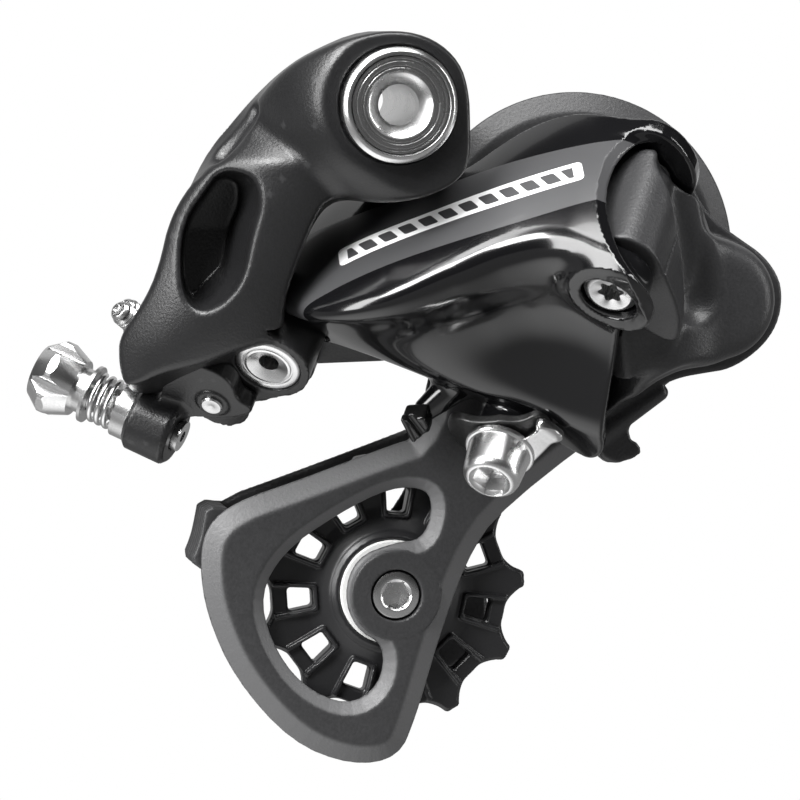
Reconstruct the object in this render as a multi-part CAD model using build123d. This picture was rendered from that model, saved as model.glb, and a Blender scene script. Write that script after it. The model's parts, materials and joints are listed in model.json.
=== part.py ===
"""Rear bicycle derailleur: slant-parallelogram, short cage, high-gear rest position.

Row frame, millimetres: X points to the bicycle's front, Y inboard (towards the wheel), Z up.
The origin is the hanger bolt's axis at the plane where the frame's hanger face rests.

The parallelogram has its own frame: `a` runs along the links at rest, `b` is the way the lower
body first moves (inboard and down), and `c` is the slanted pin direction (inboard and up).
"""

from build123d import *
import os
from math import atan2, cos, degrees, radians, sin, sqrt

# ---- driving dimensions ----------------------------------------------------------------------

# Hanger pivot
HANGER_THREAD_R = 5.0
HANGER_THREAD_LENGTH = 9.0
HANGER_SHANK_R = 5.9
HANGER_FLANGE_R = 8.7
HANGER_HOLE_R = 3.1
BOSS_R = 11.0
BOSS_Y = (-22.0, -2.3)
RUNNING = 0.05
GAP = 0.4

# Parallelogram
PIN_DIRECTION = Vector(0.38, 0.635, 0.672).normalized()
LINK_HEADING = (0.81, -0.58)
UPPER_PIVOT = Vector(-17.2, -4.0, -40.6)
LINK_LENGTH = 54.6
INNER_OFFSET = (-6.0, 11.5)
PIN_R = 2.5
BUSH_R = 3.3
UPPER_LUG_C = (0.0, 11.6)
UPPER_INNER_LUG_C = (13.2, 15.6)
UPPER_END_C = (12.0, 24.0)
INNER_END_C = (16.0, 24.0)
UPPER_TOP_LUG_C = (24.4, 29.0)
FLANGE_C = 12.0
FLANGE_T = 3.0
FLANGE_SLOPE = 17.4
LOWER_BOSS_C = (16.4, 35.6)
LOWER_LUG_C = (16.0, 20.5)
LOWER_TOP_LUG_C = (31.4, 35.6)
WEB_T = 2.6

# Cage
CAGE_PIVOT = (52.0, -31.4)
UPPER_PULLEY = (33.0, -24.5)
LOWER_PULLEY = (4.5, -77.5)
OUTER_PLATE_Y = (4.6, 7.4)
INNER_PLATE_Y = (17.2, 19.0)
PULLEY_Y = 12.3
BARREL_R = 9.7
BARREL_Y = (-14.0, 4.2)
DISC_R = 25.6
AXLE_R = 4.0
CAGE_SWEEP_R = 47.0

# Pulleys
TEETH = 11
TIP_R = 21.8
ROOT_R = 18.6
VALLEY_R = 6.0
RIM_T = 3.4
HUB_T = 7.0
HUB_R = 9.4
SEAL_R = (6.4, 8.3)
SLEEVE_R = 4.0
PULLEY_BOLT_R = 2.5

# Cable clamp and barrel adjuster
CLAMP_AT = (29.8, 23.9)
CLAMP_C = 5.0
GUIDE_AT = (17.4, 20.1)
CLAMP_R = 4.6
CLAMP_HEAD_H = 7.0
CLAMP_HOOK = (5.4, -2.6)
CLAMP_HOOK_R = 3.4
ADJUSTER_AXIS = Vector(0.836, -0.386, -0.391).normalized()
ADJUSTER_AT = Vector(-32.5, 9.0, -50.5)
STEM_R = 2.5
HOUSING_R = 2.15
HOUSING_DEPTH = 7.0
SCREW_AXIS = Vector(-0.61, -0.61, 0.505).normalized()
SCREW_AT = Vector(-37.5, 2.5, -33.5)
SCREW_SPACING = Vector(1.6, 6.0, 0.0)
SCREW_R = 1.9

# ---- frames and small helpers ----------------------------------------------------------------

heading_z = -(PIN_DIRECTION.X * LINK_HEADING[0] + PIN_DIRECTION.Y * LINK_HEADING[1]) / PIN_DIRECTION.Z
LINK_DIRECTION = Vector(*LINK_HEADING, heading_z).normalized()
LINK = Plane(origin=UPPER_PIVOT, x_dir=LINK_DIRECTION, z_dir=PIN_DIRECTION)
SIDE = Plane(origin=(0, 0, 0), x_dir=(1, 0, 0), z_dir=(0, -1, 0))
LOWER_OUTER = (LINK_LENGTH, 0.0)
UPPER_INNER = INNER_OFFSET
TIPPED = Plane(
    origin=LINK.from_local_coords(Vector(0, 0, FLANGE_C)),
    x_dir=LINK_DIRECTION,
    z_dir=PIN_DIRECTION * cos(radians(FLANGE_SLOPE)) + LINK.y_dir * sin(radians(FLANGE_SLOPE)),
)
CARRIER_PIN = (-9.8, 3.5)
LOWER_INNER = (LINK_LENGTH + INNER_OFFSET[0], INNER_OFFSET[1])


def rod(start, direction, length, radius, tip_radius=None):
    """A round bar or cone from a point along a direction."""
    plane = Plane(origin=start, z_dir=direction)
    if tip_radius is None:
        solid = Cylinder(radius, length, align=(Align.CENTER, Align.CENTER, Align.MIN))
    else:
        solid = Cone(radius, tip_radius, length, align=(Align.CENTER, Align.CENTER, Align.MIN))
    return plane.location * solid


def hex_bar(start, direction, length, across_flats):
    plane = Plane(origin=start, z_dir=direction)
    return extrude(plane * RegularPolygon(across_flats / sqrt(3), 6), length)


def side_at(x, z, y):
    """A point of the row frame from its place in the side view and its depth."""
    return Vector(x, y, z)


def side_rod(centre, y_range, radius):
    """A round bar along Y."""
    return rod(side_at(*centre, y_range[0]), (0, 1, 0), y_range[1] - y_range[0], radius)


def side_prism(face, y_range):
    """A side-view face given thickness along Y."""
    return extrude(SIDE.offset(-y_range[1]) * face, y_range[1] - y_range[0])


def link_at(a, b, c):
    return LINK.from_local_coords(Vector(a, b, c))


def link_rod(place, c_range, radius):
    """A round bar along the pin direction."""
    return rod(link_at(*place, c_range[0]), PIN_DIRECTION, c_range[1] - c_range[0], radius)


def link_prism(face, c_range):
    """A face in the links' plane given thickness along the pins."""
    return extrude(LINK.offset(c_range[0]) * face, c_range[1] - c_range[0])


def outline(*points):
    return make_face(Polyline(*points, close=True))


def smooth_outline(*points):
    return make_face(Spline(*points, periodic=True))


def bar_face(start, end, radius):
    """A round-ended bar between two points of a plane."""
    middle = ((start[0] + end[0]) / 2, (start[1] + end[1]) / 2)
    delta = Vector(end[0] - start[0], end[1] - start[1])
    slot = SlotCenterToCenter(delta.length, 2 * radius)
    return Pos(*middle) * Rot(0, 0, degrees(atan2(delta.Y, delta.X))) * slot


def coil(start, axis, radius, wire_r, pitch, height):
    """A round-wire helical spring."""
    plane = Plane(origin=start, z_dir=axis)
    path = Helix(pitch, height, radius)
    section = Plane(origin=path @ 0, z_dir=path % 0) * Circle(wire_r)
    return plane.location * sweep(section, path, is_frenet=True)


# ---- hanger fixing ---------------------------------------------------------------------------

CLIP_Y = (-0.9, -0.1)
CLIP_R = (4.6, 7.6)
STOP_PLATE_Y = (-2.0, 0.0)


def hanger_bolt():
    """Hollow pivot bolt: flange outboard, M10 thread inboard."""
    flange_y = BOSS_Y[0] - GAP
    bolt = side_rod((0, 0), (flange_y - 0.2, 0.0), HANGER_SHANK_R)
    bolt += side_rod((0, 0), (0.0, HANGER_THREAD_LENGTH), HANGER_THREAD_R)
    bolt += side_rod((0, 0), (flange_y - 2.6, flange_y), HANGER_FLANGE_R)
    bolt = chamfer(bolt.edges().filter_by(GeomType.CIRCLE).sort_by(Axis.Y)[0], 1.0)
    bolt -= rod((0, flange_y - 2.6, 0), (0, 1, 0), 2.6, 5.4, HANGER_HOLE_R)
    bolt -= side_rod((0, 0), (-30, 20), HANGER_HOLE_R)
    bolt -= hex_bar((0, HANGER_THREAD_LENGTH - 6, 0), (0, 1, 0), 7, 6.0)
    groove = side_rod((0, 0), (CLIP_Y[0] - 0.05, CLIP_Y[1] + 0.05), 7)
    groove -= side_rod((0, 0), (-3, 3), CLIP_R[0] - 0.05)
    return bolt - groove


def hanger_stop_plate():
    """Washer with the tab that rests on the hanger's stop."""
    face = Circle(10.2) + Pos(-9.5, -4.5) * Rectangle(9, 6)
    plate = side_prism(face - Circle(HANGER_SHANK_R + RUNNING), STOP_PLATE_Y)
    plate += side_prism(Pos(-13.0, -4.5) * Rectangle(2, 6), (STOP_PLATE_Y[0], 5.0))
    return plate - side_rod((0, 0), (CLIP_Y[0] - 0.1, 1), CLIP_R[1] + 0.2)


def hanger_clip():
    """Snap ring in the bolt's groove."""
    face = Circle(CLIP_R[1]) - Circle(CLIP_R[0]) - Pos(-6, 0) * Rectangle(6, 4)
    return side_prism(face, CLIP_Y)


def hanger_bushing():
    face = Circle(7.0) - Circle(HANGER_SHANK_R + RUNNING)
    return side_prism(face, (BOSS_Y[0] + 0.3, BOSS_Y[1] - 0.3))


def hanger_spring():
    return coil((0, BOSS_Y[1] - 6.2, 0), (0, 1, 0), 8.2, 0.7, 1.9, 4.9)


# ---- upper body ------------------------------------------------------------------------------

LEG_SECTIONS = (
    ((-6.0, -12.0, -0.5), 20.5, 19.0),
    ((-18.0, -9.0, -14.0), 22.5, 15.0),
    ((-24.0, -3.0, -29.0), 20.0, 14.0),
    ((-27.0, 1.0, -40.0), 19.0, 14.0),
)
POCKET_FLOOR_Y = -1.0
SPINE = ((-15.5, -7.0), (-8.5, -8.5), (-8.0, 8.0), (-11.0, 14.0), (-17.0, 13.0))


def leg():
    """Curved arm from the hanger boss down to the pivot lugs."""
    middles = [Vector(*s[0]) for s in LEG_SECTIONS]
    faces = []
    for i, (_, width, depth) in enumerate(LEG_SECTIONS):
        along = (middles[min(i + 1, 3)] - middles[max(i - 1, 0)]).normalized()
        across = Vector(0, 1, 0).cross(along).normalized()
        plane = Plane(origin=middles[i], x_dir=across, z_dir=along)
        faces.append(plane * RectangleRounded(width, depth, 4.5))
    return loft(faces)


def upper_body():
    body = side_rod((0, 0), BOSS_Y, BOSS_R) + leg()
    outer_lug = bar_face((0, 0), (-11, 0), 6.4)
    inner_lug = bar_face(UPPER_INNER, (-12, 10), 5.0)
    body += link_prism(outer_lug, UPPER_LUG_C)
    body += link_prism(inner_lug, UPPER_INNER_LUG_C)
    body += link_prism(outer_lug + inner_lug, UPPER_TOP_LUG_C)
    body += link_prism(outline(*SPINE), (UPPER_LUG_C[0], UPPER_TOP_LUG_C[1]))
    for seat in (SCREW_AT, SCREW_AT + SCREW_SPACING):
        body += rod(seat - SCREW_AXIS * 12, SCREW_AXIS, 12, 3.6)
    # deep pocket in the leg's outer side
    slot = bar_face((-23.6, -15.0), (-28.2, -26.8), 4.4)
    body -= side_prism(slot, (-30, POCKET_FLOOR_Y))
    # hanger bore and its spring pocket
    body -= side_rod((0, 0), (-40, 12), 7.0)
    body -= side_rod((0, 0), (BOSS_Y[1] - 7.2, 12), 9.6)
    body -= side_rod((0, 0), (BOSS_Y[1], 12), 18.0)
    # room for the outer link's web and the flange
    link_room = (UPPER_LUG_C[1], UPPER_TOP_LUG_C[0])
    body -= link_prism(Circle(7.6), link_room)
    body -= link_prism(outline((-4, -14), (70, -15), (70, 6.0), (-4, 6.0)), link_room)
    inner_room = (UPPER_INNER_LUG_C[1], UPPER_TOP_LUG_C[0])
    body -= link_prism(Pos(*UPPER_INNER) * Circle(6.6), inner_room)
    body -= link_prism(outline((-6, 5), (70, 5), (70, 40), (-6, 17)), inner_room)
    body -= link_prism(outline((7, -20), (70, -20), (70, 40), (7, 40)), (-10, UPPER_LUG_C[1]))
    # pin seats, screw seats and the adjuster's passage
    for place in ((0, 0), UPPER_INNER):
        body -= link_rod(place, (-5, 40), PIN_R)
    body -= link_rod(CARRIER_PIN, (-5, 5), 1.5)
    body -= adjuster_rod((-8, 8), 5.5)
    body -= link_rod((0, 0), (-3, 1.6), 5.2)
    for seat in (SCREW_AT, SCREW_AT + SCREW_SPACING):
        body -= rod(seat - SCREW_AXIS * 16, SCREW_AXIS, 20, SCREW_R + RUNNING)
    return body


def return_spring():
    """Torsion spring round the inner link's upper eye."""
    return coil(link_at(*UPPER_INNER, 21.3), PIN_DIRECTION, 5.7, 0.45, 1.05, 2.3)


def pivot_pin(place, c_range, head_r, head_c):
    """Hollow-headed pivot pin."""
    pin = link_rod(place, c_range, PIN_R) + link_rod(place, head_c, head_r)
    return pin - link_rod(place, (head_c[0] - 1, head_c[0] + 5), 1.6)


# ---- parallelogram links ---------------------------------------------------------------------

WEB_OUTER = ((-5.5, -3.5), (2.0, -8.0), (14.0, -11.0), (30.0, -12.0), (50.0, -11.0), (62.5, -9.0))
WEB_SIDE = (
    (-8.0, 12.0), (2.0, 12.0), (24.0, 13.0), (63.0, 12.0), (64.0, 15.8), (59.0, 15.8), (54.5, 24.0),
    (57.0, 30.0), (63.0, 33.0), (63.0, 37.0), (58.0, 39.5), (40.0, 40.0), (30.0, 33.0),
    (20.0, 25.5), (9.0, 23.8), (-8.0, 23.8),
)
FLANGE = (
    (-2.0, -6.5), (14.0, -11.0), (30.0, -12.0), (50.0, -11.0), (60.5, -8.0), (60.5, 3.5), (53.0, 8.0),
    (46.0, 26.0), (40.3, 28.3), (36.0, 25.8), (34.8, 28.0), (30.5, 30.6), (26.0, 29.0), (22.0, 18.5),
    (16.4, 16.0), (12.0, 13.1), (8.2, 8.4), (4.4, 4.0), (-2.0, 4.0),
)


def web():
    """The link's outer wall: a bent band, cut to its side view."""
    line = Spline(*WEB_OUTER)
    band = make_face([
        line,
        Line(line @ 1, line @ 1 + Vector(0, WEB_T)),
        Spline(*[(a, b + WEB_T) for a, b in reversed(WEB_OUTER)]),
        Line(line @ 0 + Vector(0, WEB_T), line @ 0),
    ])
    wall = link_prism(band, (8.0, 42.0))
    side = Plane(origin=link_at(0, -30, 0), x_dir=LINK_DIRECTION, z_dir=-LINK.y_dir)
    cut = side * (Polyline(*WEB_SIDE, close=True))
    return wall & extrude(make_face(cut), 60, both=True)


def flange():
    """Lower wall, tipped outward so that the cable arm clears the cage."""
    return extrude(TIPPED * outline(*FLANGE), FLANGE_T)


def outer_link():
    link = web() + flange()
    link += link_prism(Circle(4.6), UPPER_END_C)
    link += link_prism(outline((-3.5, -5.5), (8, -9), (6, -1), (0, 4)), UPPER_END_C)
    link += link_prism(Pos(*LOWER_OUTER) * Circle(6.0), (FLANGE_C - 1.0, LOWER_BOSS_C[0] - GAP))
    ear = bar_face(LOWER_OUTER, (LOWER_OUTER[0] - 1, -9), 4.4)
    link += link_prism(ear, (LOWER_BOSS_C[1] + GAP, LOWER_BOSS_C[1] + GAP + 3.0))
    link += clamp_rod((CLAMP_C, CLAMP_C + 4.2), 4.4)
    link -= link_prism(Circle(PIN_R + 0.8), (-5, 50))
    link -= link_rod(LOWER_OUTER, (-5, 50), PIN_R + 0.8)
    link -= link_rod(LOWER_OUTER, (0, FLANGE_C + 1.2), 4.5)
    link -= clamp_rod((-8, 12), 2.5)
    link -= clamp_rod((-8, CLAMP_C), 6.2)
    hook = (CLAMP_AT[0] + CLAMP_HOOK[0], CLAMP_AT[1] + CLAMP_HOOK[1])
    link -= link_rod(hook, (-8, CLAMP_C), CLAMP_HOOK_R + GAP)
    # flats that clear the moving neighbours
    link -= link_prism(Pos(*LOWER_OUTER) * Circle(6.9), (LOWER_BOSS_C[0] - GAP, LOWER_BOSS_C[1] + GAP))
    boss_room = (LOWER_BOSS_C[0] - GAP, LOWER_BOSS_C[1] + GAP)
    link -= link_prism(outline((46, -8.4), (80, -8.4), (80, 30), (46, 30)), boss_room)
    link -= link_prism(outline((58, -30), (80, -30), (80, 30), (58, 30)), (boss_room[0], 30))
    link -= link_prism(Circle(7.0), (0, UPPER_END_C[0]))
    return link


def clamp_rod(c_range, radius, tip_radius=None):
    """A round bar on the cable clamp's axis."""
    start = link_at(*CLAMP_AT, c_range[0])
    return rod(start, PIN_DIRECTION, c_range[1] - c_range[0], radius, tip_radius)


def cable_clamp_washer():
    """Grooved washer with an anti-turn hook."""
    face = Pos(*CLAMP_AT) * (Circle(5.8) + Pos(*CLAMP_HOOK) * Circle(CLAMP_HOOK_R))
    washer = link_prism(face, (CLAMP_C - 1.8, CLAMP_C - 0.1))
    return washer - clamp_rod((-10, 20), 2.6)


def cable_clamp_bolt():
    """Tapered head with a thin flange, over an M5 shank."""
    base = CLAMP_C - 1.9
    face = base - CLAMP_HEAD_H
    bolt = clamp_rod((base, CLAMP_C + 4.4), 2.45) + clamp_rod((base - 1.0, base), CLAMP_R + 0.5)
    bolt += clamp_rod((face + 1.0, base), CLAMP_R - 0.4, CLAMP_R)
    bolt += clamp_rod((face, face + 1.0), CLAMP_R - 1.0, CLAMP_R - 0.4)
    return bolt - hex_bar(link_at(*CLAMP_AT, face - 0.1), PIN_DIRECTION, 4.2, 5.0)


def cable_guide():
    """Nylon guide on the arm's rear edge."""
    start = TIPPED.from_local_coords(Vector(*GUIDE_AT, -2.5))
    return hex_bar(start, TIPPED.z_dir, 2.5, 4.6)


INNER_BAR = ((-6, 7.6), (10, 8.4), (41.5, 7.4), (41.5, 15.6), (30, 15.8), (8, 16.2), (-6, 15.8))


def inner_link():
    """Inner arm: eye at the upper end, jogged up to the eye at the lower end."""
    lower_end = (LOWER_LUG_C[1] + GAP, LOWER_TOP_LUG_C[0] - GAP)
    bar = outline(*INNER_BAR)
    link = link_prism(Pos(*UPPER_INNER) * Circle(4.6), INNER_END_C)
    link += link_prism(bar, (INNER_END_C[0], 20.4))
    link += link_prism(outline((33, 7.8), (41.5, 7.4), (41.5, 15.6), (33, 15.7)), (INNER_END_C[0], 27.0))
    link += link_prism(outline((40, 7.4), (48.6, 7.2), (48.6, 15.8), (40, 15.6)), (lower_end[0], 27.0))
    link += link_prism(Pos(*LOWER_INNER) * Circle(4.4), lower_end)
    for place in (UPPER_INNER, LOWER_INNER):
        link -= link_rod(place, (-5, 50), BUSH_R)
    # flat that clears the cage through its whole swing
    return link - side_rod(CAGE_PIVOT, (OUTER_PLATE_Y[0] - 0.6, 60), CAGE_SWEEP_R)


def bush(place, c_range):
    return link_rod(place, c_range, BUSH_R) - link_rod(place, (-9, 60), PIN_R + RUNNING)


# ---- lower body ------------------------------------------------------------------------------

LOWER_SPINE = (
    (57.5, -3.5), (61.5, 1.0), (64.5, 10.0), (63.0, 21.0), (54.5, 22.0), (52.0, 14.0), (54.5, 9.0), (52, 3),
)
LOWER_TAIL = ((60, -36), (50, -42), (42, -46.5), (34.5, -51.5), (37, -43), (45, -33))


def lower_body():
    body = link_prism(Pos(*LOWER_OUTER) * Circle(6.3), LOWER_BOSS_C)
    body += link_prism(outline(*LOWER_SPINE), LOWER_BOSS_C)
    for lug in (LOWER_LUG_C, LOWER_TOP_LUG_C):
        body += link_prism(bar_face(LOWER_INNER, (57, 12), 4.8), lug)
    body += side_rod(CAGE_PIVOT, BARREL_Y, BARREL_R)
    body += side_prism(smooth_outline(*LOWER_TAIL), (-2.5, 1.5))
    body -= link_prism(Pos(*LOWER_INNER) * Circle(5.3), (LOWER_LUG_C[1], LOWER_TOP_LUG_C[0]))
    # room for the inner link as it swings
    swing = outline((48.6, 17.0), (52.6, 8.7), (38.3, -11.9), (20, -12), (20, 17.0))
    body -= link_prism(swing, (LOWER_LUG_C[1], LOWER_TOP_LUG_C[0]))
    for place in (LOWER_OUTER, LOWER_INNER):
        body -= link_rod(place, (-5, 60), PIN_R)
    body -= side_rod(CAGE_PIVOT, (BARREL_Y[0] + 3.5, 20), 7.6)
    return body


def lower_outer_screw():
    """Pivot screw with a star socket."""
    place = LOWER_OUTER
    screw = link_rod(place, (FLANGE_C, LOWER_BOSS_C[1] + 3.2), PIN_R)
    screw += link_rod(place, (FLANGE_C - 1.2, FLANGE_C + 1.0), 4.2)
    star = Circle(1.5)
    for i in range(6):
        star += Rot(0, 0, 60 * i) * (Pos(1.5, 0) * Circle(0.5))
    return screw - link_prism(Pos(*place) * star, (FLANGE_C - 2, FLANGE_C + 1.6))


def cage_spring():
    return coil((CAGE_PIVOT[0], -9.4, CAGE_PIVOT[1]), (0, 1, 0), 6.1, 0.8, 2.0, 9.6)


# ---- cage ------------------------------------------------------------------------------------

OUTER_PLATE = (
    (9.5, -52.5), (2.0, -54.8), (-11.0, -59.6), (-20.0, -62.5), (-24.6, -66.0), (-26.0, -72.0),
    (-24.8, -80.0), (-20.5, -90.0), (-11.5, -100.2), (-2.0, -103.8), (4.4, -102.4), (7.4, -97.0),
    (11.0, -86.0), (15.8, -72.5), (21.6, -64.2),
)
PLATE_WINDOW = (
    (4.5, -60.8), (9.2, -61.4), (10.2, -64.5), (8.8, -68.4), (4.5, -69.6), (-1.2, -71.8), (-3.3, -77.5),
    (-1.4, -82.6), (2.3, -86.0), (2.0, -92.5), (-3.0, -95.8), (-10.5, -92.0), (-15.6, -84.5),
    (-17.2, -77.0), (-13.4, -70.5), (-4.5, -64.8),
)


def plate_face(edge_points):
    """Disc over the upper pulley, drawn out over the lower pulley."""
    tip = (UPPER_PULLEY[0] + 14.7, UPPER_PULLEY[1] - 21.0)
    root = (UPPER_PULLEY[0] - 23.0, UPPER_PULLEY[1] - 11.2)
    lower = make_face([
        Spline(*edge_points),
        Line(edge_points[-1], tip),
        Line(tip, root),
        Line(root, edge_points[0]),
    ])
    return lower + Pos(*UPPER_PULLEY) * Circle(DISC_R)


def cage_outer_plate():
    plate = side_prism(plate_face(OUTER_PLATE), OUTER_PLATE_Y)
    plate -= side_prism(smooth_outline(*PLATE_WINDOW), (0, 10))
    plate += side_rod(LOWER_PULLEY, (OUTER_PLATE_Y[0], OUTER_PLATE_Y[1] + 0.6), 7.2)
    plate -= side_rod(LOWER_PULLEY, (0, OUTER_PLATE_Y[0] + 1.8), 4.0)
    for centre in (LOWER_PULLEY, UPPER_PULLEY):
        plate -= side_rod(centre, (-20, 20), PULLEY_BOLT_R)
    return plate - side_rod(CAGE_PIVOT, (-20, 20), AXLE_R)


INNER_ARM = (
    (19.0, -14.0), (14.0, -34.0), (10.5, -52.0), (9.0, -62.0), (2.0, -70.0), (-3.0, -78.0), (0.0, -86.0),
    (8.0, -92.0), (17.0, -91.5), (22.0, -84.0), (21.0, -77.0), (16.0, -73.0), (19.0, -65.0),
    (47.0, -44.0), (53.0, -24.0), (40.0, -10.0),
)

CHAIN_GUARD = (
    (-24.5, -66.5), (-21.0, -63.2), (-11.0, -59.8), (2.0, -55.4), (13.0, -51.5), (13.0, -59.5),
    (3.0, -59.4), (-10.0, -64.3), (-18.0, -69.0),
)


def cage_inner_plate():
    """Inner side of the cage with its chain guard."""
    plate = side_prism(smooth_outline(*INNER_ARM), INNER_PLATE_Y)
    plate += side_prism(outline(*CHAIN_GUARD), INNER_PLATE_Y)
    plate -= side_prism(smooth_outline((24, -32), (17, -46), (15, -58), (24, -55), (36, -42)), (0, 30))
    # bent tab that keeps the chain on the lower pulley
    tab = bar_face((-21.2, -63.4), (-25.4, -67.6), 1.1) + bar_face((-25.4, -67.6), (-23.6, -71.6), 1.1)
    plate += side_prism(tab, (OUTER_PLATE_Y[1] + GAP, INNER_PLATE_Y[1]))
    for centre in (LOWER_PULLEY, UPPER_PULLEY):
        plate -= side_rod(centre, (-20, 30), PULLEY_BOLT_R - 0.4)
    return plate


def cage_pivot_axle():
    axle = side_rod(CAGE_PIVOT, (BARREL_Y[0] + 4.2, OUTER_PLATE_Y[1]), AXLE_R)
    axle += side_rod(CAGE_PIVOT, (OUTER_PLATE_Y[1], OUTER_PLATE_Y[1] + 0.8), 5.4)
    axle -= hex_bar(side_at(*CAGE_PIVOT, OUTER_PLATE_Y[1] - 2), (0, 1, 0), 4, 4.0)
    return axle


def pulley_bolt(centre):
    """Low-head bolt through both plates."""
    front = OUTER_PLATE_Y[0] + (0.4 if centre == LOWER_PULLEY else 1.6)
    head_r = 3.8 if centre == LOWER_PULLEY else PULLEY_BOLT_R
    bolt = side_rod(centre, (front, OUTER_PLATE_Y[0] + 1.8), head_r)
    bolt += side_rod(centre, (OUTER_PLATE_Y[0] + 1.7, INNER_PLATE_Y[0]), PULLEY_BOLT_R - 0.02)
    bolt += side_rod(centre, (INNER_PLATE_Y[0], INNER_PLATE_Y[1] + 0.6), PULLEY_BOLT_R - 0.42)
    start = side_at(*centre, front - 0.1)
    return bolt - hex_bar(start, (0, 1, 0), 3.2, 4.0 if centre == LOWER_PULLEY else 2.5)


def pulley_sleeve(centre):
    """Fixed sleeve that the pulley's bearing turns on."""
    ends = (OUTER_PLATE_Y[1] + 0.6, INNER_PLATE_Y[0])
    sleeve = side_rod(centre, (ends[0], ends[1]), SLEEVE_R)
    return sleeve - side_rod(centre, (0, 30), PULLEY_BOLT_R)


# ---- pulleys ---------------------------------------------------------------------------------


def pulley_face():
    face = Circle(TIP_R)
    for i in range(TEETH):
        face -= Rot(0, 0, 360 / TEETH * i) * (Pos(ROOT_R + VALLEY_R, 0) * Circle(VALLEY_R))
    return face


def pulley_window():
    return outline((-1.9, -1.7), (-1.5, 2.0), (1.5, 2.0), (1.9, -1.7))


def pulley(centre, turn):
    """Toothed wheel with a thick hub, ribs and windows."""
    rim_y = (PULLEY_Y - RIM_T / 2, PULLEY_Y + RIM_T / 2)
    hub_y = (PULLEY_Y - HUB_T / 2, PULLEY_Y + HUB_T / 2)
    turned = Pos(*centre) * Rot(0, 0, turn)
    wheel = side_prism(turned * pulley_face(), rim_y)
    wheel += side_rod(centre, hub_y, HUB_R)
    step = 360 / TEETH
    for i in range(TEETH):
        window = turned * Rot(0, 0, step * i) * (Pos(14.2, 0) * Rot(0, 0, 90) * pulley_window())
        wheel -= side_prism(window, (0, 30))
    return wheel - side_rod(centre, (-20, 40), SEAL_R[1])


def bearing(centre):
    """Outer race and shields, pressed in the pulley."""
    race = side_rod(centre, (PULLEY_Y - 2.5, PULLEY_Y + 2.5), SEAL_R[1])
    return race - side_rod(centre, (-20, 40), SLEEVE_R + RUNNING)


def seals(centre):
    """Dust rings, one on each side of the bearing."""
    rings = []
    for side in (-1, 1):
        low, high = sorted((PULLEY_Y + side * 2.5, PULLEY_Y + side * 3.7))
        ring = side_rod(centre, (low, high), SEAL_R[1])
        rings.append(ring - side_rod(centre, (-20, 40), SLEEVE_R + 1.6))
    return Compound(children=rings)


# ---- barrel adjuster -------------------------------------------------------------------------

KNOB_FROM = -21.0
SPRING_FROM = -11.4


def along_adjuster(distance):
    return ADJUSTER_AT + ADJUSTER_AXIS * distance


def adjuster_rod(span, radius, tip_radius=None):
    return rod(along_adjuster(span[0]), ADJUSTER_AXIS, span[1] - span[0], radius, tip_radius)


def adjuster_carrier():
    """Pivoted lug that holds the barrel adjuster."""
    carrier = adjuster_rod((-4.0, 3.4), 5.4)
    ear = bar_face(CARRIER_PIN, (-17.0, 5.0), 4.4) + bar_face(CARRIER_PIN, (-7.2, 7.6), 3.6)
    carrier += link_prism(ear, (-3.6, UPPER_LUG_C[0] - 0.05))
    carrier -= adjuster_rod((-20, 20), STEM_R + 0.15)
    return carrier - link_rod(CARRIER_PIN, (-20, 20), 1.5)


def barrel_adjuster():
    """Faceted knob on a hollow threaded stem."""
    lobes = Circle(4.6)
    for i in range(5):
        lobes += Rot(0, 0, 72 * i) * (Pos(3.4, 0) * RectangleRounded(5.2, 4.8, 1.0))
    plane = Plane(origin=along_adjuster(KNOB_FROM), z_dir=ADJUSTER_AXIS)
    knob = extrude(plane * lobes, 7.0)
    envelope = adjuster_rod((KNOB_FROM, KNOB_FROM + 3.0), 4.2, 6.4)
    envelope += adjuster_rod((KNOB_FROM + 3.0, KNOB_FROM + 7.0), 6.4, 4.6)
    knob &= envelope
    knob += adjuster_rod((KNOB_FROM + 6.5, KNOB_FROM + 8.9), 3.6)
    knob += adjuster_rod((KNOB_FROM + 8.0, 4.4), STEM_R)
    knob -= adjuster_rod((KNOB_FROM - 1, KNOB_FROM + HOUSING_DEPTH), HOUSING_R)
    return knob - adjuster_rod((-40, 20), 0.9)


def adjuster_washer():
    return adjuster_rod((-12.0, -11.5), 4.7) - adjuster_rod((-30, 20), STEM_R + 0.15)


def adjuster_sleeve():
    return adjuster_rod((-6.4, -4.05), 4.5) - adjuster_rod((-30, 20), STEM_R + 0.15)


def adjuster_spring():
    return coil(along_adjuster(SPRING_FROM + 0.55), ADJUSTER_AXIS, 3.6, 0.45, 1.3, 4.0)


def limit_screw(seat):
    screw = rod(seat - SCREW_AXIS * 9, SCREW_AXIS, 12.5, SCREW_R)
    return screw - hex_bar(seat + SCREW_AXIS * 1.5, SCREW_AXIS, 3, 2.0)


# ---- every node ------------------------------------------------------------------------------

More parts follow.
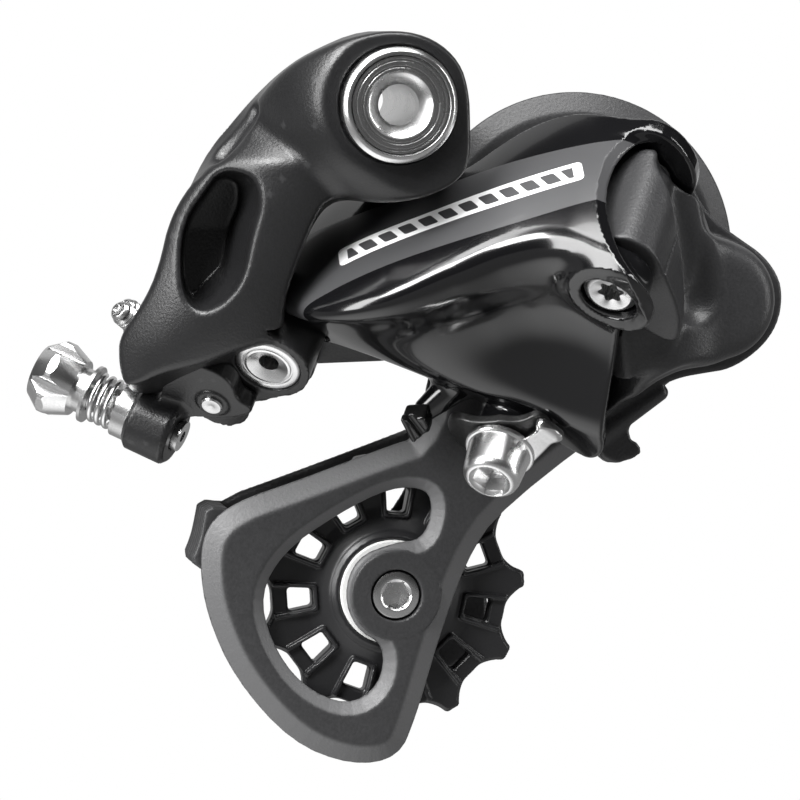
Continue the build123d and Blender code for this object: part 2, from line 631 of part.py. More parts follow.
nodes = {
    "hanger_bolt": hanger_bolt(),
    "hanger_stop_plate": hanger_stop_plate(),
    "hanger_bolt_clip": hanger_clip(),
    "hanger_bushing": hanger_bushing(),
    "hanger_spring": hanger_spring(),
    "upper_body": upper_body(),
    "upper_outer_pin": pivot_pin((0, 0), (0.4, 28.8), 5.15, (0.2, 1.55)),
    "upper_inner_pin": pivot_pin(UPPER_INNER, (13.6, 28.8), PIN_R, (13.6, 15.0)),
    "return_spring": return_spring(),
    "outer_link": outer_link(),
    "outer_link_bushes": Compound(children=[
        bush((0, 0), UPPER_END_C),
        bush(LOWER_OUTER, (FLANGE_C + 1.3, LOWER_BOSS_C[0] - GAP)),
        bush(LOWER_OUTER, (LOWER_BOSS_C[1] + GAP, LOWER_BOSS_C[1] + GAP + 3.0)),
    ]),
    "cable_clamp_washer": cable_clamp_washer(),
    "cable_clamp_bolt": cable_clamp_bolt(),
    "cable_guide": cable_guide(),
    "inner_link": inner_link(),
    "inner_link_bushes": Compound(children=[
        bush(UPPER_INNER, INNER_END_C),
        bush(LOWER_INNER, (LOWER_LUG_C[1] + GAP, LOWER_TOP_LUG_C[0] - GAP)),
    ]),
    "lower_body": lower_body(),
    "lower_outer_screw": lower_outer_screw(),
    "lower_inner_pin": link_rod(LOWER_INNER, (LOWER_LUG_C[0] + 0.4, LOWER_TOP_LUG_C[1] - 0.4), PIN_R),
    "cage_spring": cage_spring(),
    "cage_outer_plate": cage_outer_plate(),
    "cage_inner_plate": cage_inner_plate(),
    "cage_pivot_axle": cage_pivot_axle(),
    "adjuster_carrier": adjuster_carrier(),
    "carrier_pin": link_rod(CARRIER_PIN, (-3.5, 4.0), 1.5),
    "barrel_adjuster": barrel_adjuster(),
    "adjuster_washer": adjuster_washer(),
    "adjuster_sleeve": adjuster_sleeve(),
    "adjuster_spring": adjuster_spring(),
    "limit_screw_high": limit_screw(SCREW_AT),
    "limit_screw_low": limit_screw(SCREW_AT + SCREW_SPACING),
}
for label, centre, turn in (("upper", UPPER_PULLEY, 4.0), ("lower", LOWER_PULLEY, 20.0)):
    nodes[label + "_pulley"] = pulley(centre, turn)
    nodes[label + "_pulley_bearing"] = bearing(centre)
    nodes[label + "_pulley_seals"] = seals(centre)
    nodes[label + "_pulley_sleeve"] = pulley_sleeve(centre)
    nodes[label + "_pulley_bolt"] = pulley_bolt(centre)

os.makedirs("parts", exist_ok=True)
for name, shape in nodes.items():
    export_step(shape, f"parts/{name}.step")
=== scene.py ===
"""Looks of the rear derailleur: three cast arms and bodies sculpted as fields, turned and moulded
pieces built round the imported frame, procedural finishes, a pale floor and soft studio light."""

import functools
import json
import math

import bmesh
import bpy
import numpy as np
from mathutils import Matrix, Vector


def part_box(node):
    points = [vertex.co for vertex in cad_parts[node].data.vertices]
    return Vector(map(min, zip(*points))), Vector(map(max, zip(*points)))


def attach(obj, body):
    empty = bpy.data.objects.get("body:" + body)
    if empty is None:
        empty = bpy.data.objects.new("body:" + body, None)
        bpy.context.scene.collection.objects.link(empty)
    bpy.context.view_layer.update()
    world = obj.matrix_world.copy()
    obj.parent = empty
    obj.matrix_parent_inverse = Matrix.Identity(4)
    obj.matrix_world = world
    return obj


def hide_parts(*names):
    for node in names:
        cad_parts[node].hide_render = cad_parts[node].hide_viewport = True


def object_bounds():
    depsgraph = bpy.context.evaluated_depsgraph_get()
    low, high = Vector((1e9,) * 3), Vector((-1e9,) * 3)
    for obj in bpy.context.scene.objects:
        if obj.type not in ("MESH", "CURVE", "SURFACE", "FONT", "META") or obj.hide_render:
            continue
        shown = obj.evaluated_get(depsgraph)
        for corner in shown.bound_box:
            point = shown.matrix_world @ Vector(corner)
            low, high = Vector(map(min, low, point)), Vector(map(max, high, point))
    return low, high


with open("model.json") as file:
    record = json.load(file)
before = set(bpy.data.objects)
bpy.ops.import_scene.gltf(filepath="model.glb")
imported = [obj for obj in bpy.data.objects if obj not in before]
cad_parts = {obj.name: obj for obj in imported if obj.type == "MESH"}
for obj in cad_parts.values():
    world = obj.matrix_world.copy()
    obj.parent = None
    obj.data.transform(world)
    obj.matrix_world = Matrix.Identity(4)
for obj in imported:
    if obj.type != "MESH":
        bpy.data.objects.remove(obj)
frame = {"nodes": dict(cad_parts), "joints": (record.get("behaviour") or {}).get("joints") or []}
cad_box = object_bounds()

# ---- places taken from the frame (millimetres) ----

MM = 0.001
JOINTS = {joint["name"]: joint for joint in frame["joints"]}


def unit(vector):
    vector = np.asarray(vector, float)
    return vector / np.linalg.norm(vector)


def joint_at(name):
    return np.array(JOINTS[name]["pos_m"]) / MM


def middle_of(node):
    low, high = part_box(node)
    return np.array((low + high) / 2) / MM


PIN = unit(JOINTS["outer_arm_swing"]["axis"])
UPPER_PIVOT = joint_at("outer_arm_swing") - 12.0 * PIN
reach = joint_at("lower_knuckle_swing") - UPPER_PIVOT
reach -= PIN * (reach @ PIN)
LINK_LENGTH = np.linalg.norm(reach)
ALONG = unit(reach)
LINK_AXES = np.array([ALONG, np.cross(PIN, ALONG), PIN])
CAGE_PIVOT = joint_at("cage_swing")[[0, 2]]
UPPER_PULLEY = joint_at("guide_wheel_spin")[[0, 2]]
LOWER_PULLEY = joint_at("tension_wheel_spin")[[0, 2]]
PULLEY_Y = joint_at("tension_wheel_spin")[1]
ADJUSTER_AXIS = unit(JOINTS["adjuster_turn"]["axis"])
ADJUSTER_AT = joint_at("adjuster_turn")


class Place:
    """A local frame in the row frame, in millimetres."""

    def __init__(self, origin=(0, 0, 0), axes=((1, 0, 0), (0, 1, 0), (0, 0, 1))):
        self.origin = np.asarray(origin, float)
        self.axes = np.asarray(axes, float)

    def to_row(self, points):
        return self.origin + points @ self.axes

    def local(self, x, y, z):
        """The local coordinates of row-frame x, y and z."""
        offset = (x - self.origin[0], y - self.origin[1], z - self.origin[2])
        return tuple(sum(axis[i] * offset[i] for i in range(3)) for axis in self.axes)


ROW = Place()
LINK = Place(UPPER_PIVOT, LINK_AXES)

# ---- fields: negative inside a solid, in millimetres ----


def smooth_max(radius, *fields):
    total = fields[0]
    for field in fields[1:]:
        overlap = np.maximum(radius - np.abs(total - field), 0) / radius
        total = np.maximum(total, field) + overlap * overlap * radius / 4
    return total


def smooth_min(radius, *fields):
    return -smooth_max(radius, *(-field for field in fields))


def carve(radius, solid, tool):
    return smooth_max(radius, solid, -tool)


def chamfer_max(size, first, second):
    """What both fields hold, with the edge between them cut off flat."""
    return np.maximum(np.maximum(first, second), (first + second + size) * 0.7071)


def chamfer_carve(size, solid, tool):
    return chamfer_max(size, solid, -tool)


def carved(solid, *cuts):
    """A solid with several tools cut out of it, each given after the radius of its edges."""
    for radius, tool in cuts:
        solid = carve(radius, solid, tool)
    return solid


def disc(u, v, centre, radius):
    return np.hypot(u - centre[0], v - centre[1]) - radius


def slab(w, low, high):
    return np.maximum(low - w, w - high)


def rod(u, v, w, centre, radius, low, high):
    """A round solid along w, flat at both ends."""
    return np.maximum(disc(u, v, centre, radius), slab(w, low, high))


def taper_bar(coordinates, start, end, start_r, end_r):
    """A round bar between two points, in two or three dimensions."""
    delta = [e - s for s, e in zip(start, end)]
    length2 = sum(d * d for d in delta)
    t = sum((c - s) * d for c, s, d in zip(coordinates, start, delta)) / length2
    t = np.clip(t, 0, 1)
    square = sum((c - s - t * d) ** 2 for c, s, d in zip(coordinates, start, delta))
    return np.sqrt(square) - (start_r + t * (end_r - start_r))


def rounded(points, passes=3):
    """A closed outline with its corners cut again and again until they are curves."""
    points = np.asarray(points, float)
    for _ in range(passes):
        after = np.roll(points, -1, axis=0)
        points = np.stack([0.75 * points + 0.25 * after, 0.25 * points + 0.75 * after], axis=1)
        points = points.reshape(-1, 2)
    return points


def outline(u, v, points):
    """Signed distance to a closed outline in a plane."""
    nearest, crossings = np.inf, 0
    for (u0, v0), (u1, v1) in zip(points, np.roll(points, -1, axis=0)):
        du, dv = u1 - u0, v1 - v0
        t = np.clip(((u - u0) * du + (v - v0) * dv) / (du * du + dv * dv), 0, 1)
        nearest = np.minimum(nearest, (u - u0 - t * du) ** 2 + (v - v0 - t * dv) ** 2)
        side = (v0 <= v) != (v1 <= v)
        left = (u - u0) * dv - (v - v0) * du
        crossings = crossings + np.where(side, np.where((left < 0) == (dv > 0), 1, 0), 0)
    return np.where(crossings % 2 == 1, -1.0, 1.0) * np.sqrt(nearest)


def through(x, knots):
    """A smooth curve through a few (x, y) knots, level past its ends."""
    xs, ys = np.array(knots, float).T
    slopes = np.gradient(ys, xs)
    slopes[0] = slopes[-1] = 0
    x = np.clip(x, xs[0], xs[-1])
    i = np.clip(np.searchsorted(xs, x, side="right") - 1, 0, len(xs) - 2)
    span = xs[i + 1] - xs[i]
    t = (x - xs[i]) / span
    rise = ys[i + 1] - ys[i]
    bend = t * t * (3 - 2 * t)
    ends = slopes[i] * span * t * (1 - t) ** 2 - slopes[i + 1] * span * t * t * (1 - t)
    return ys[i] + rise * bend + ends


# ---- from a field to a mesh ----

CORNERS = [(i, j, k) for i in (0, 1) for j in (0, 1) for k in (0, 1)]
EDGES = [
    (p, q) for p in CORNERS for q in CORNERS
    if sum(q) - sum(p) == 1 and sum(abs(a - b) for a, b in zip(p, q)) == 1
]
FLATTEST = 0.05  # least squared slope that a point is moved by


def surface_net(values, low, step):
    """Vertices and quads of the zero surface of a sampled field."""
    inside = values < 0
    shape = tuple(n - 1 for n in values.shape)

    def corner(grid, offset):
        return grid[tuple(slice(o, o + n) for o, n in zip(offset, shape))]

    count = sum(corner(inside, c).astype(np.int8) for c in CORNERS)
    cells = np.argwhere((count > 0) & (count < 8))
    index = np.full(shape, -1)
    index[tuple(cells.T)] = np.arange(len(cells))
    total, hits = np.zeros((len(cells), 3)), np.zeros(len(cells))
    for start, end in EDGES:
        at_start = values[tuple((cells + start).T)]
        at_end = values[tuple((cells + end).T)]
        crossed = (at_start < 0) != (at_end < 0)
        t = np.where(crossed, at_start / np.where(crossed, at_start - at_end, 1), 0)
        point = np.array(start) + t[:, None] * (np.array(end) - np.array(start))
        total += np.where(crossed[:, None], point, 0)
        hits += crossed
    vertices = low + step * (cells + total / hits[:, None])
    quads = []
    for axis in range(3):
        first = [slice(None)] * 3
        second = [slice(None)] * 3
        first[axis], second[axis] = slice(None, -1), slice(1, None)
        a, b = inside[tuple(first)], inside[tuple(second)]
        edges = np.argwhere(a != b)
        u, v = (axis + 1) % 3, (axis + 2) % 3
        beside = edges[:, [u, v]]
        edges = edges[((beside > 0) & (beside < (shape[u], shape[v]))).all(axis=1)]
        step_u, step_v = np.eye(3, dtype=int)[u], np.eye(3, dtype=int)[v]
        ring = [edges - step_u - step_v, edges - step_v, edges, edges - step_u]
        quad = np.stack([index[tuple(r.T)] for r in ring], axis=1)
        leaving = a[tuple(edges.T)]
        quads.append(np.where(leaving[:, None], quad, quad[:, ::-1]))
    return vertices, np.concatenate(quads)


def gradient(field, points, reach_mm=0.06):
    columns = []
    for axis in range(3):
        shift = np.zeros(3)
        shift[axis] = reach_mm
        ahead, behind = points + shift, points - shift
        columns.append((field(*ahead.T) - field(*behind.T)) / (2 * reach_mm))
    return np.stack(columns, axis=1)


def mesh_object(name, vertices, faces, material):
    """A mesh in metres from millimetre vertices of the row frame."""
    mesh = bpy.data.meshes.new(name)
    mesh.from_pydata((vertices * MM).tolist(), [], [list(face) for face in faces])
    mesh.validate()
    mesh.materials.append(material)
    mesh.polygons.foreach_set("use_smooth", [True] * len(mesh.polygons))
    piece = bpy.data.objects.new(name, mesh)
    bpy.context.scene.collection.objects.link(piece)
    return piece


def stand_for(piece, node, body):
    """Lets a piece ride a body in the place of one of its nodes."""
    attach(piece, body)
    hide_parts(node)


def sculpt(name, field, place, low, high, step, node, body, slot, marks=None):
    """A closed mesh of a field between two corners, with the field's own normals."""
    low, high = np.array(low, float), np.array(high, float)
    grid = [low[i] + step * np.arange(int((high[i] - low[i]) / step) + 2) for i in range(3)]
    values = field(grid[0][:, None, None], grid[1][None, :, None], grid[2][None, None, :])
    vertices, quads = surface_net(np.asarray(values, float), low, step)
    for _ in range(2):
        slope = gradient(field, vertices)
        size2 = np.maximum((slope * slope).sum(1), FLATTEST)
        move = -(field(*vertices.T) / size2)[:, None] * slope
        reach_mm = np.linalg.norm(move, axis=1, keepdims=True)
        vertices = vertices + move * np.minimum(1, 0.5 * step / np.maximum(reach_mm, 1e-9))
    normals = gradient(field, vertices, 0.12) @ place.axes
    normals /= np.maximum(np.linalg.norm(normals, axis=1, keepdims=True), 1e-9)
    piece = mesh_object(name, place.to_row(vertices), quads, MATERIALS[slot])
    if len(piece.data.vertices) == len(normals):
        piece.data.normals_split_custom_set_from_vertices(normals.tolist())
    if marks:
        layer = piece.data.attributes.new("marks", "FLOAT_VECTOR", "POINT")
        layer.data.foreach_set("vector", marks(*vertices.T).astype(np.float32).ravel())
    stand_for(piece, node, body)


# ---- outer link ----

UPPER_EYE, LOWER_EYE = (0, 0), (LINK_LENGTH, 0.0)
PIN_BORE = 2.55
CLAMP_AT = (29.8, 23.9)
guide_centre = LINK.local(*middle_of("cable_guide"))
GUIDE_AT = (float(guide_centre[0]), float(guide_centre[1]))
GUIDE_C = (float(guide_centre[2]) - 1.7, float(guide_centre[2]) + 1.7)
SWING_LIMIT = math.radians(55)
INNER_PIN = (-6.0, 11.5)
INNER_PIN_AT_LIMIT = (
    INNER_PIN[0] * math.cos(SWING_LIMIT) + INNER_PIN[1] * math.sin(SWING_LIMIT),
    INNER_PIN[1] * math.cos(SWING_LIMIT) - INNER_PIN[0] * math.sin(SWING_LIMIT),
)
TIP_SLOPE = math.tan(math.radians(17.4))
FLANGE_C, STRIP_SLOPE = 12.0, 0.3
BROW = ((-6, 8), (4, 3.5), (11, 0.8), (22, 0.6), (33, 5.6), (40, 9.2), (46, 10.8), (56, 9), (64, 6))
WEB_LINE = ((-6, -4.5), (2, -8.4), (14, -11), (30, -12), (50, -11.2), (63, -9.2))
WEB_TOP = ((-6, 26.6), (7, 29.8), (18, 28.2), (26, 29), (31, 33), (36, 37.9), (42, 41), (48, 41.6),
           (60, 38.8))
SILL = ((-5, 3.4), (4, 5.4), (11, 8.2), (20, 12.5), (28, 16), (36, 18.9), (44.3, 23), (52, 26))
VALLEY_DEPTH = ((10, 0), (16, 0.5), (23, 2.4), (31, 4.2), (42, 4.8), (52, 4), (58, 3))
LINK_SIDE = rounded((
    (-5.4, 11.9), (-5.4, 26.4), (5, 29.8), (10, 29.6), (15.4, 28), (23.8, 28), (29.2, 30.4), (31.8, 33.4),
    (35.9, 38), (41.4, 41.2), (46.5, 42), (54.6, 39.9), (59.6, 38), (55.9, 35.4), (54, 29.9), (54.2, 23.2),
    (56, 16.8), (58.8, 11.6), (62.6, 7.5), (63.5, 2), (62, -3), (20, -4), (5, -3), (2.5, 6), (2.5, 11.9),
), 2)
LINK_PLAN = rounded((
    (-6.5, -4), (0, -9.5), (14, -14), (40, -15), (58, -13.5), (62.6, -9), (62.2, 0.5), (59.4, 5.4),
    (53.4, 7.3), (52.9, 7.9), (46.4, 23.6), (45, 28.6), (41.4, 31.4), (38.6, 30), (36.8, 29.4),
    (34.8, 30.2), (30.5, 30.8), (26, 29), (22.5, 24.8), (19.5, 22.8), (15.9, 21.8), (12.2, 18), (7.5, 13),
    (4, 7.4), (-3.6, 4.2),
), 2)
EAR_PLAN = rounded((
    (44, -8.6), (52, -9.4), (58.4, -9.6), (61.8, -5.6), (62.4, 0.6), (60.2, 5.4), (54.8, 7.6), (49.2, 5.4),
    (46.6, 0), (44, -6),
), 2)


def outer_link_field(a, b, c):
    brow, top = through(a, BROW), through(a, WEB_TOP)
    height = (c - brow) / (top - brow)
    web = through(a, WEB_LINE) + 1.7 * (2 * height - 1) ** 2
    sill = through(a, SILL)
    share = (b + 8.0) / (sill + 8.0)
    flat = np.clip(share, 0, 1)
    floor = (1 - share) * (brow + 0.8) + share * (FLANGE_C - TIP_SLOPE * sill)
    floor = floor + through(a, VALLEY_DEPTH) * 16 * (flat * (1 - flat)) ** 2
    past = b - sill
    floor = floor + STRIP_SLOPE * (np.sqrt(past ** 2 + 1.4) + past) / 2
    skin = smooth_max(3.2, web - b, 0.92 * (floor - c))
    hollow = smooth_max(2.0, web + 2.5 - b, 0.92 * (floor + 2.8 - c))
    shell = carve(0.8, skin, hollow)
    shell = chamfer_max(1.3, shell, outline(a, c, LINK_SIDE))
    shell = smooth_max(0.7, shell, outline(a, b, LINK_PLAN))
    guide_back = (GUIDE_AT[0] + 0.6, GUIDE_AT[1] - 0.4, GUIDE_C[1] + 0.6)
    lugs = (
        (2.2, rod(a, b, c, UPPER_EYE, 5.2, FLANGE_C, 24.0)),
        (4.0, rod(a, b, c, LOWER_EYE, 5.6, 10.9, 15.6)),
        (1.6, smooth_max(0.8, outline(a, b, EAR_PLAN), slab(c, 36.1, 39.2))),
        (1.2, rod(a, b, c, CLAMP_AT, 5.0, 5.0, 9.4)),
        (1.8, taper_bar((a, b, c), (22.5, 17.0, 10.5), guide_back, 2.8, 1.9)),
    )
    solid = shell
    for radius, lug in lugs:
        solid = smooth_min(radius, solid, lug)
    # room for the upper body, the knuckle and the inner pin at the end of the swing
    solid = carved(
        solid,
        (0.4, np.maximum(disc(a, b, UPPER_EYE, 7.3), c - FLANGE_C)),
        (0.4, rod(a, b, c, LOWER_EYE, 7.4, 15.7, 36.0)),
        (0.4, np.maximum(disc(a, b, INNER_PIN_AT_LIMIT, 5.6), 12.7 - c)),
    )
    # bores and the seats of the lower screw and the clamp washer
    return carved(
        solid,
        (0.3, disc(a, b, UPPER_EYE, 3.35)),
        (0.3, disc(a, b, LOWER_EYE, 3.35)),
        (0.3, np.maximum(disc(a, b, LOWER_EYE, 4.45), c - 13.3)),
        (0.3, np.maximum(taper_bar((a, b), CLAMP_AT, (35.2, 21.3), 6.1, 3.7), c - 5.0)),
        (0.2, disc(a, b, CLAMP_AT, 2.55)),
    )


def link_marks(a, b, c):
    """Each point's place on the link, in centimetres, for its printed band."""
    return np.stack([a, b, c], axis=1) / 10


# ---- upper body ----

FRONT_OUTLINE = rounded((
    (11, 2), (9.6, 6.4), (5.8, 9.9), (0, 11.3), (-7.1, 10.2), (-12.6, 7.8), (-16.4, 5), (-19.4, 0.6),
    (-21, -4.4), (-23, -7.2), (-28.6, -11), (-32.4, -17), (-34.2, -25), (-36.2, -30), (-39.6, -35.4),
    (-40, -38.6), (-39, -43.6), (-37, -43.2), (-33.6, -40.9), (-27.5, -39.6), (-23.2, -37.6),
    (-17.4, -36.2), (-15.4, -33.6), (-15.8, -31), (-14.6, -25.8), (-11, -15.8), (-8.6, -14), (-4.6, -14.8),
    (0, -14.9), (5, -13.8), (9.4, -11.6), (11.2, -8.6), (11.2, -3),
), 2)
BACK_OUTLINE = rounded((
    (11, 2), (9.8, 6), (5, 10), (-2, 11.2), (-10.9, 7.4), (-15.2, 4.4), (-19.1, 0.8), (-22.8, -3),
    (-25.7, -6.6), (-27.5, -10.2), (-28.9, -13.9), (-30.8, -18.5), (-32.2, -25.9), (-34, -31.2),
    (-37.6, -36.2), (-38.4, -44.4), (-34, -45.6), (-26, -43.4), (-16, -40.6), (-12.4, -34.6), (-12.6, -28),
    (-9.6, -20), (-6, -14.6), (0, -14.8), (5, -13.6), (11.2, -9.4), (11.2, -3),
), 2)
WINDOW = rounded((
    (-25.2, -9.9), (-20.6, -10.9), (-19.7, -15.2), (-21, -19.6), (-22.2, -26.8), (-25.4, -30.6),
    (-28.6, -32), (-31.3, -29.2), (-31.6, -21.8), (-30.3, -16.8), (-27.8, -13.4),
), 2)
BOSS_FRONT, LEG_BACK = -22.2, 5.5
LEG_FRONT = ((-50, -2), (-43, -6), (-36, -10), (-29, -12.8), (-20, -15), (-12, -16.8), (-8.5, -17),
             (-4.5, -14.6), (-0.5, -12.6), (4, -12.4), (8, -13.4), (12, -15))
BACK_LINE = ((-48, 7), (-30, 6), (-12, -1), (-8, -2.4), (12, -2.4))
LINK_ROOM = ((-4, -9.8), (2, -10.4), (14, -12.6), (30, -13.4), (70, -13.4), (70, 6), (-4, 6))
INNER_ROOM = ((-6, 5), (70, 5), (70, 40), (-6, 17))
AHEAD_ROOM = ((7.4, -11.4), (14, -12.6), (30, -13.4), (70, -13.4), (70, 40), (7.4, 40))


def upper_body_field(x, y, z):
    a, b, c = LINK.local(x, y, z)
    from_boss = np.hypot(x, z)
    over_boss = taper_bar((x, z), (-0.6, 0.4), (4.0, -2.5), 10.4, 10.4)
    boss_front = BOSS_FRONT + 0.5 * np.maximum(over_boss, 0) ** 1.5
    middle = -22.6 + 0.42 * (z + 30)
    leg_front = through(z, LEG_FRONT) + 0.03 * (x - middle - 3.0) ** 2
    front = smooth_min(2.6, boss_front, leg_front)
    back = through(z, BACK_LINE)
    depth = np.clip((y - front) / (np.minimum(LEG_BACK, back) - front), 0, 1)
    around = (1 - depth) * outline(x, z, FRONT_OUTLINE) + depth * outline(x, z, BACK_OUTLINE)
    shape = smooth_max(1.0, around, front - y)
    shape = smooth_max(0.8, shape, y - back)
    # pivot lugs, square to the pins
    outer_lug = np.maximum(taper_bar((a, b), UPPER_EYE, (-12, 1.0), 6.7, 7.6), slab(c, 0.0, 11.6))
    inner_lug = np.maximum(taper_bar((a, b), INNER_PIN, (-13, 9.0), 5.2, 6.5), slab(c, 12.2, 15.6))
    top_lug = np.maximum(taper_bar((a, b), UPPER_EYE, INNER_PIN, 6.4, 5.2), slab(c, 24.4, 29.0))
    spine = np.maximum(taper_bar((a, b), (-12.5, -2.5), (-13.0, 10.0), 4.6, 4.6), slab(c, 2.0, 28.6))
    shape = smooth_min(2.0, shape, spine)
    shape = smooth_min(1.4, shape, top_lug, inner_lug)
    shape = carve(0.7, shape, np.maximum(-c, disc(a, b, (-4.0, 1.0), 11.5)))
    shape = smooth_min(1.6, shape, outer_lug)
    # limit screw bosses
    for limit in ("high", "low"):
        tip = middle_of("limit_screw_" + limit)
        away = unit(JOINTS[limit + "_limit_turn"]["axis"])
        start, end = tip + away * 1.0, tip + away * 8.0
        shape = smooth_min(1.2, shape, taper_bar((x, y, z), start, end, 3.1, 3.6))
    # window pocket, side recess and the notch under it
    pocket_floor = 0.6 * (y + 1.0 + 1.1 * np.maximum(x - z - 1.3, 0))
    pocket_side = outline(x, z, WINDOW) + 0.15 * np.maximum(y + 11, 0)
    shape = carved(
        shape,
        (1.3, smooth_max(0.8, pocket_side, pocket_floor, y - back + 2.4)),
        (1.0, taper_bar((x, y, z), (-20.4, -8.6, -1.2), (-25.0, -8.2, -6.9), 1.6, 2.3)),
        (0.5, taper_bar((x, y, z), (-28.4, -9.5, -9.6), (-30.5, -3.0, -12.5), 1.1, 1.1)),
    )
    # bore, spring pocket and the room for the moving links
    link_room = outline(a, b, LINK_ROOM)
    inner_room = smooth_min(1.0, disc(a, b, INNER_PIN, 7.0), outline(a, b, INNER_ROOM))
    ahead = outline(a, b, AHEAD_ROOM)
    return carved(
        shape,
        (0.5, np.maximum(from_boss - 8.9, y + 24.0 - 2.2)),
        (0.4, from_boss - 7.0),
        (0.4, np.maximum(from_boss - 9.6, -9.5 - y)),
        (0.4, rod(a, b, c, UPPER_EYE, 8.4, 11.7, 24.2)),
        (0.8, np.maximum(link_room, slab(c, 11.7, 24.2))),
        (0.8, np.maximum(inner_room, slab(c, 15.8, 24.2))),
        (0.8, np.maximum(ahead, slab(c, -20, 11.7))),
        (0.3, disc(a, b, UPPER_EYE, PIN_BORE)),
        (0.3, disc(a, b, INNER_PIN, PIN_BORE)),
        (0.25, np.maximum(disc(a, b, UPPER_EYE, 5.25), c - 1.6)),
    )


# ---- lower body ----

LOWER_SILHOUETTE = rounded((
    (50, -8), (48.8, -12), (51.8, -17.8), (56.7, -21.3), (61, -24.2), (63.6, -28), (63.9, -32), (62.7, -36),
    (59.7, -39.4), (55.5, -41.9), (51.8, -42.4), (47.4, -43.1), (44, -44.6), (41.5, -46.6), (34.2, -53),
    (32, -50), (32, -42), (29, -32), (28.4, -22), (31, -9), (38, -5), (46, -5.6),
), 2)
INNER_EYE = (LINK_LENGTH + INNER_PIN[0], INNER_PIN[1])
KNUCKLE = rounded((
    (-6.2, -2), (-4, -6.4), (3, -6.5), (6.4, -6.4), (7, 0), (6.6, 12), (3, 18), (-4, 8),
), 2)
APRON = rounded((
    (-8, 4), (-4, -4), (6, -4), (6.6, 4), (4.6, 16), (-2, 22), (-14, 18),
), 1)
STOP_TAB = rounded((
    (35, -50), (34.6, -55), (36.6, -56.6), (41.4, -55.2), (41.2, -53.4), (39.4, -52.4), (39.6, -48.6),
), 1)


def lower_body_field(x, y, z):
    a, b, c = LINK.local(x, y, z)
    u = a - LINK_LENGTH
    edge = outline(x, z, LOWER_SILHOUETTE)
    knuckle = smooth_max(0.7, outline(u, b, KNUCKLE), slab(c, 16.2, 35.7))
    knuckle = smooth_max(2.0, knuckle, edge, y + 3.0)
    lobe = smooth_max(4.0, disc(x, z, CAGE_PIVOT + (0, 0.7), 9.3), -13.6 - y, y - 4.2)
    saddle = taper_bar((x, y, z), (45, -8, -22), (44, -8, -38), 8.0, 8.0)
    saddle = smooth_max(1.0, edge + 3.2, saddle, y - 2.0)
    wedge = smooth_max(0.8, edge + 3.4, -16.0 - y - 0.35 * (z + 37.0), y - 2.0, outline(u, b, APRON))
    tail = smooth_max(1.0, edge + 2.6, taper_bar((x, y, z), (46, -8, -38), (35, -5, -51), 5.0, 2.6))
    bar = taper_bar((x, y, z), (44.5, -4.6, -45.4), (34.2, -4.6, -52.6), 1.3, 1.5)
    stop = smooth_max(0.6, outline(x, z, STOP_TAB), slab(y, -5.6, -1.4))
    body = smooth_min(1.4, smooth_min(3.0, lobe, saddle, tail), wedge)
    groove = taper_bar((x, y, z), (43.6, -18.5, -10.0), (47.6, -16.5, -28.0), 4.2, 3.6)
    body = carve(2.2, body, groove)
    body = smooth_min(1.0, body, knuckle)
    valley = taper_bar((x, y, z), (44.8, -20.0, -9.0), (48.2, -17.4, -30.0), 4.4, 4.6)
    body = carve(1.4, body, smooth_max(0.6, valley, 3.9 - np.hypot(u, b)))
    rim = smooth_max(0.7, edge, slab(y, -5.6, -1.2))
    body = smooth_min(0.6, body, rim, bar, stop)
    # room for both links and the cage axle
    body = carve(0.5, body, c - 16.2 + 0.35 * np.clip(b - 12, 0, 20))
    web_room = np.minimum(np.minimum(disc(u, b, (0, 0), 7.0), 2.0 - b), u + 2.0)
    return carved(
        smooth_max(0.5, body, web_room),
        (0.3, rod(u, b, c, (0, 0), 8.6, 35.7, 39.6)),
        (0.4, rod(a, b, c, INNER_EYE, 5.4, 20.6, 31.3)),
        (0.2, disc(a, b, LOWER_EYE, PIN_BORE)),
        (0.2, disc(a, b, INNER_EYE, PIN_BORE)),
        (0.3, np.maximum(disc(x, z, CAGE_PIVOT, 7.6), -10.5 - y)),
    )


# ---- turned pieces ----

ROUND_STEPS = 120
CRISP_PAST = math.radians(32)


def axis_place(origin, direction):
    """A frame whose third axis runs along a turned piece."""
    direction = unit(direction)
    across = (0, 0, 1) if abs(direction[2]) < 0.9 else (1, 0, 0)
    side = unit(np.cross(across, direction))
    return Place(origin, (side, np.cross(direction, side), direction))


def ring_radius(kind, radius, angle):
    """Radius of a ring round the axis: plain, a polygon (kind is its side count) or a star."""
    if kind == "star":
        return radius * (1 + 0.16 * np.cos(6 * angle))
    if kind:
        step = 2 * math.pi / kind
        return radius / np.cos((angle % step) - step / 2)
    return np.full_like(angle, radius)


def turned(name, place, stations, slot):
    """A closed piece made of rings: each station is (height, radius) or (height, radius, kind).

    A polygon's radius is half its width across flats. The first and last rings are capped, or
    joined when they are the same ring, as on a tube."""
    steps = ROUND_STEPS
    angle = 2 * math.pi * np.arange(steps) / steps
    rings = []
    for height, radius, *kind in stations:
        reach_mm = ring_radius(kind[0] if kind else 0, radius, angle)
        level = np.full(steps, height)
        rings.append(np.stack([reach_mm * np.cos(angle), reach_mm * np.sin(angle), level], axis=1))
    tube = stations[0] == stations[-1]
    if tube:
        rings = rings[:-1]
    vertices = place.to_row(np.concatenate(rings))
    count, faces = len(rings), []
    for i in range(count if tube else count - 1):
        low_ring, high_ring = i * steps, (i + 1) % count * steps
        for j in range(steps):
            k = (j + 1) % steps
            faces.append((low_ring + j, low_ring + k, high_ring + k, high_ring + j))
    if not tube:
        faces.append(tuple(range(steps))[::-1])
        faces.append(tuple(range((count - 1) * steps, count * steps)))
    piece = mesh_object(name, vertices, faces, MATERIALS[slot])
    sharpen(piece)
    return piece


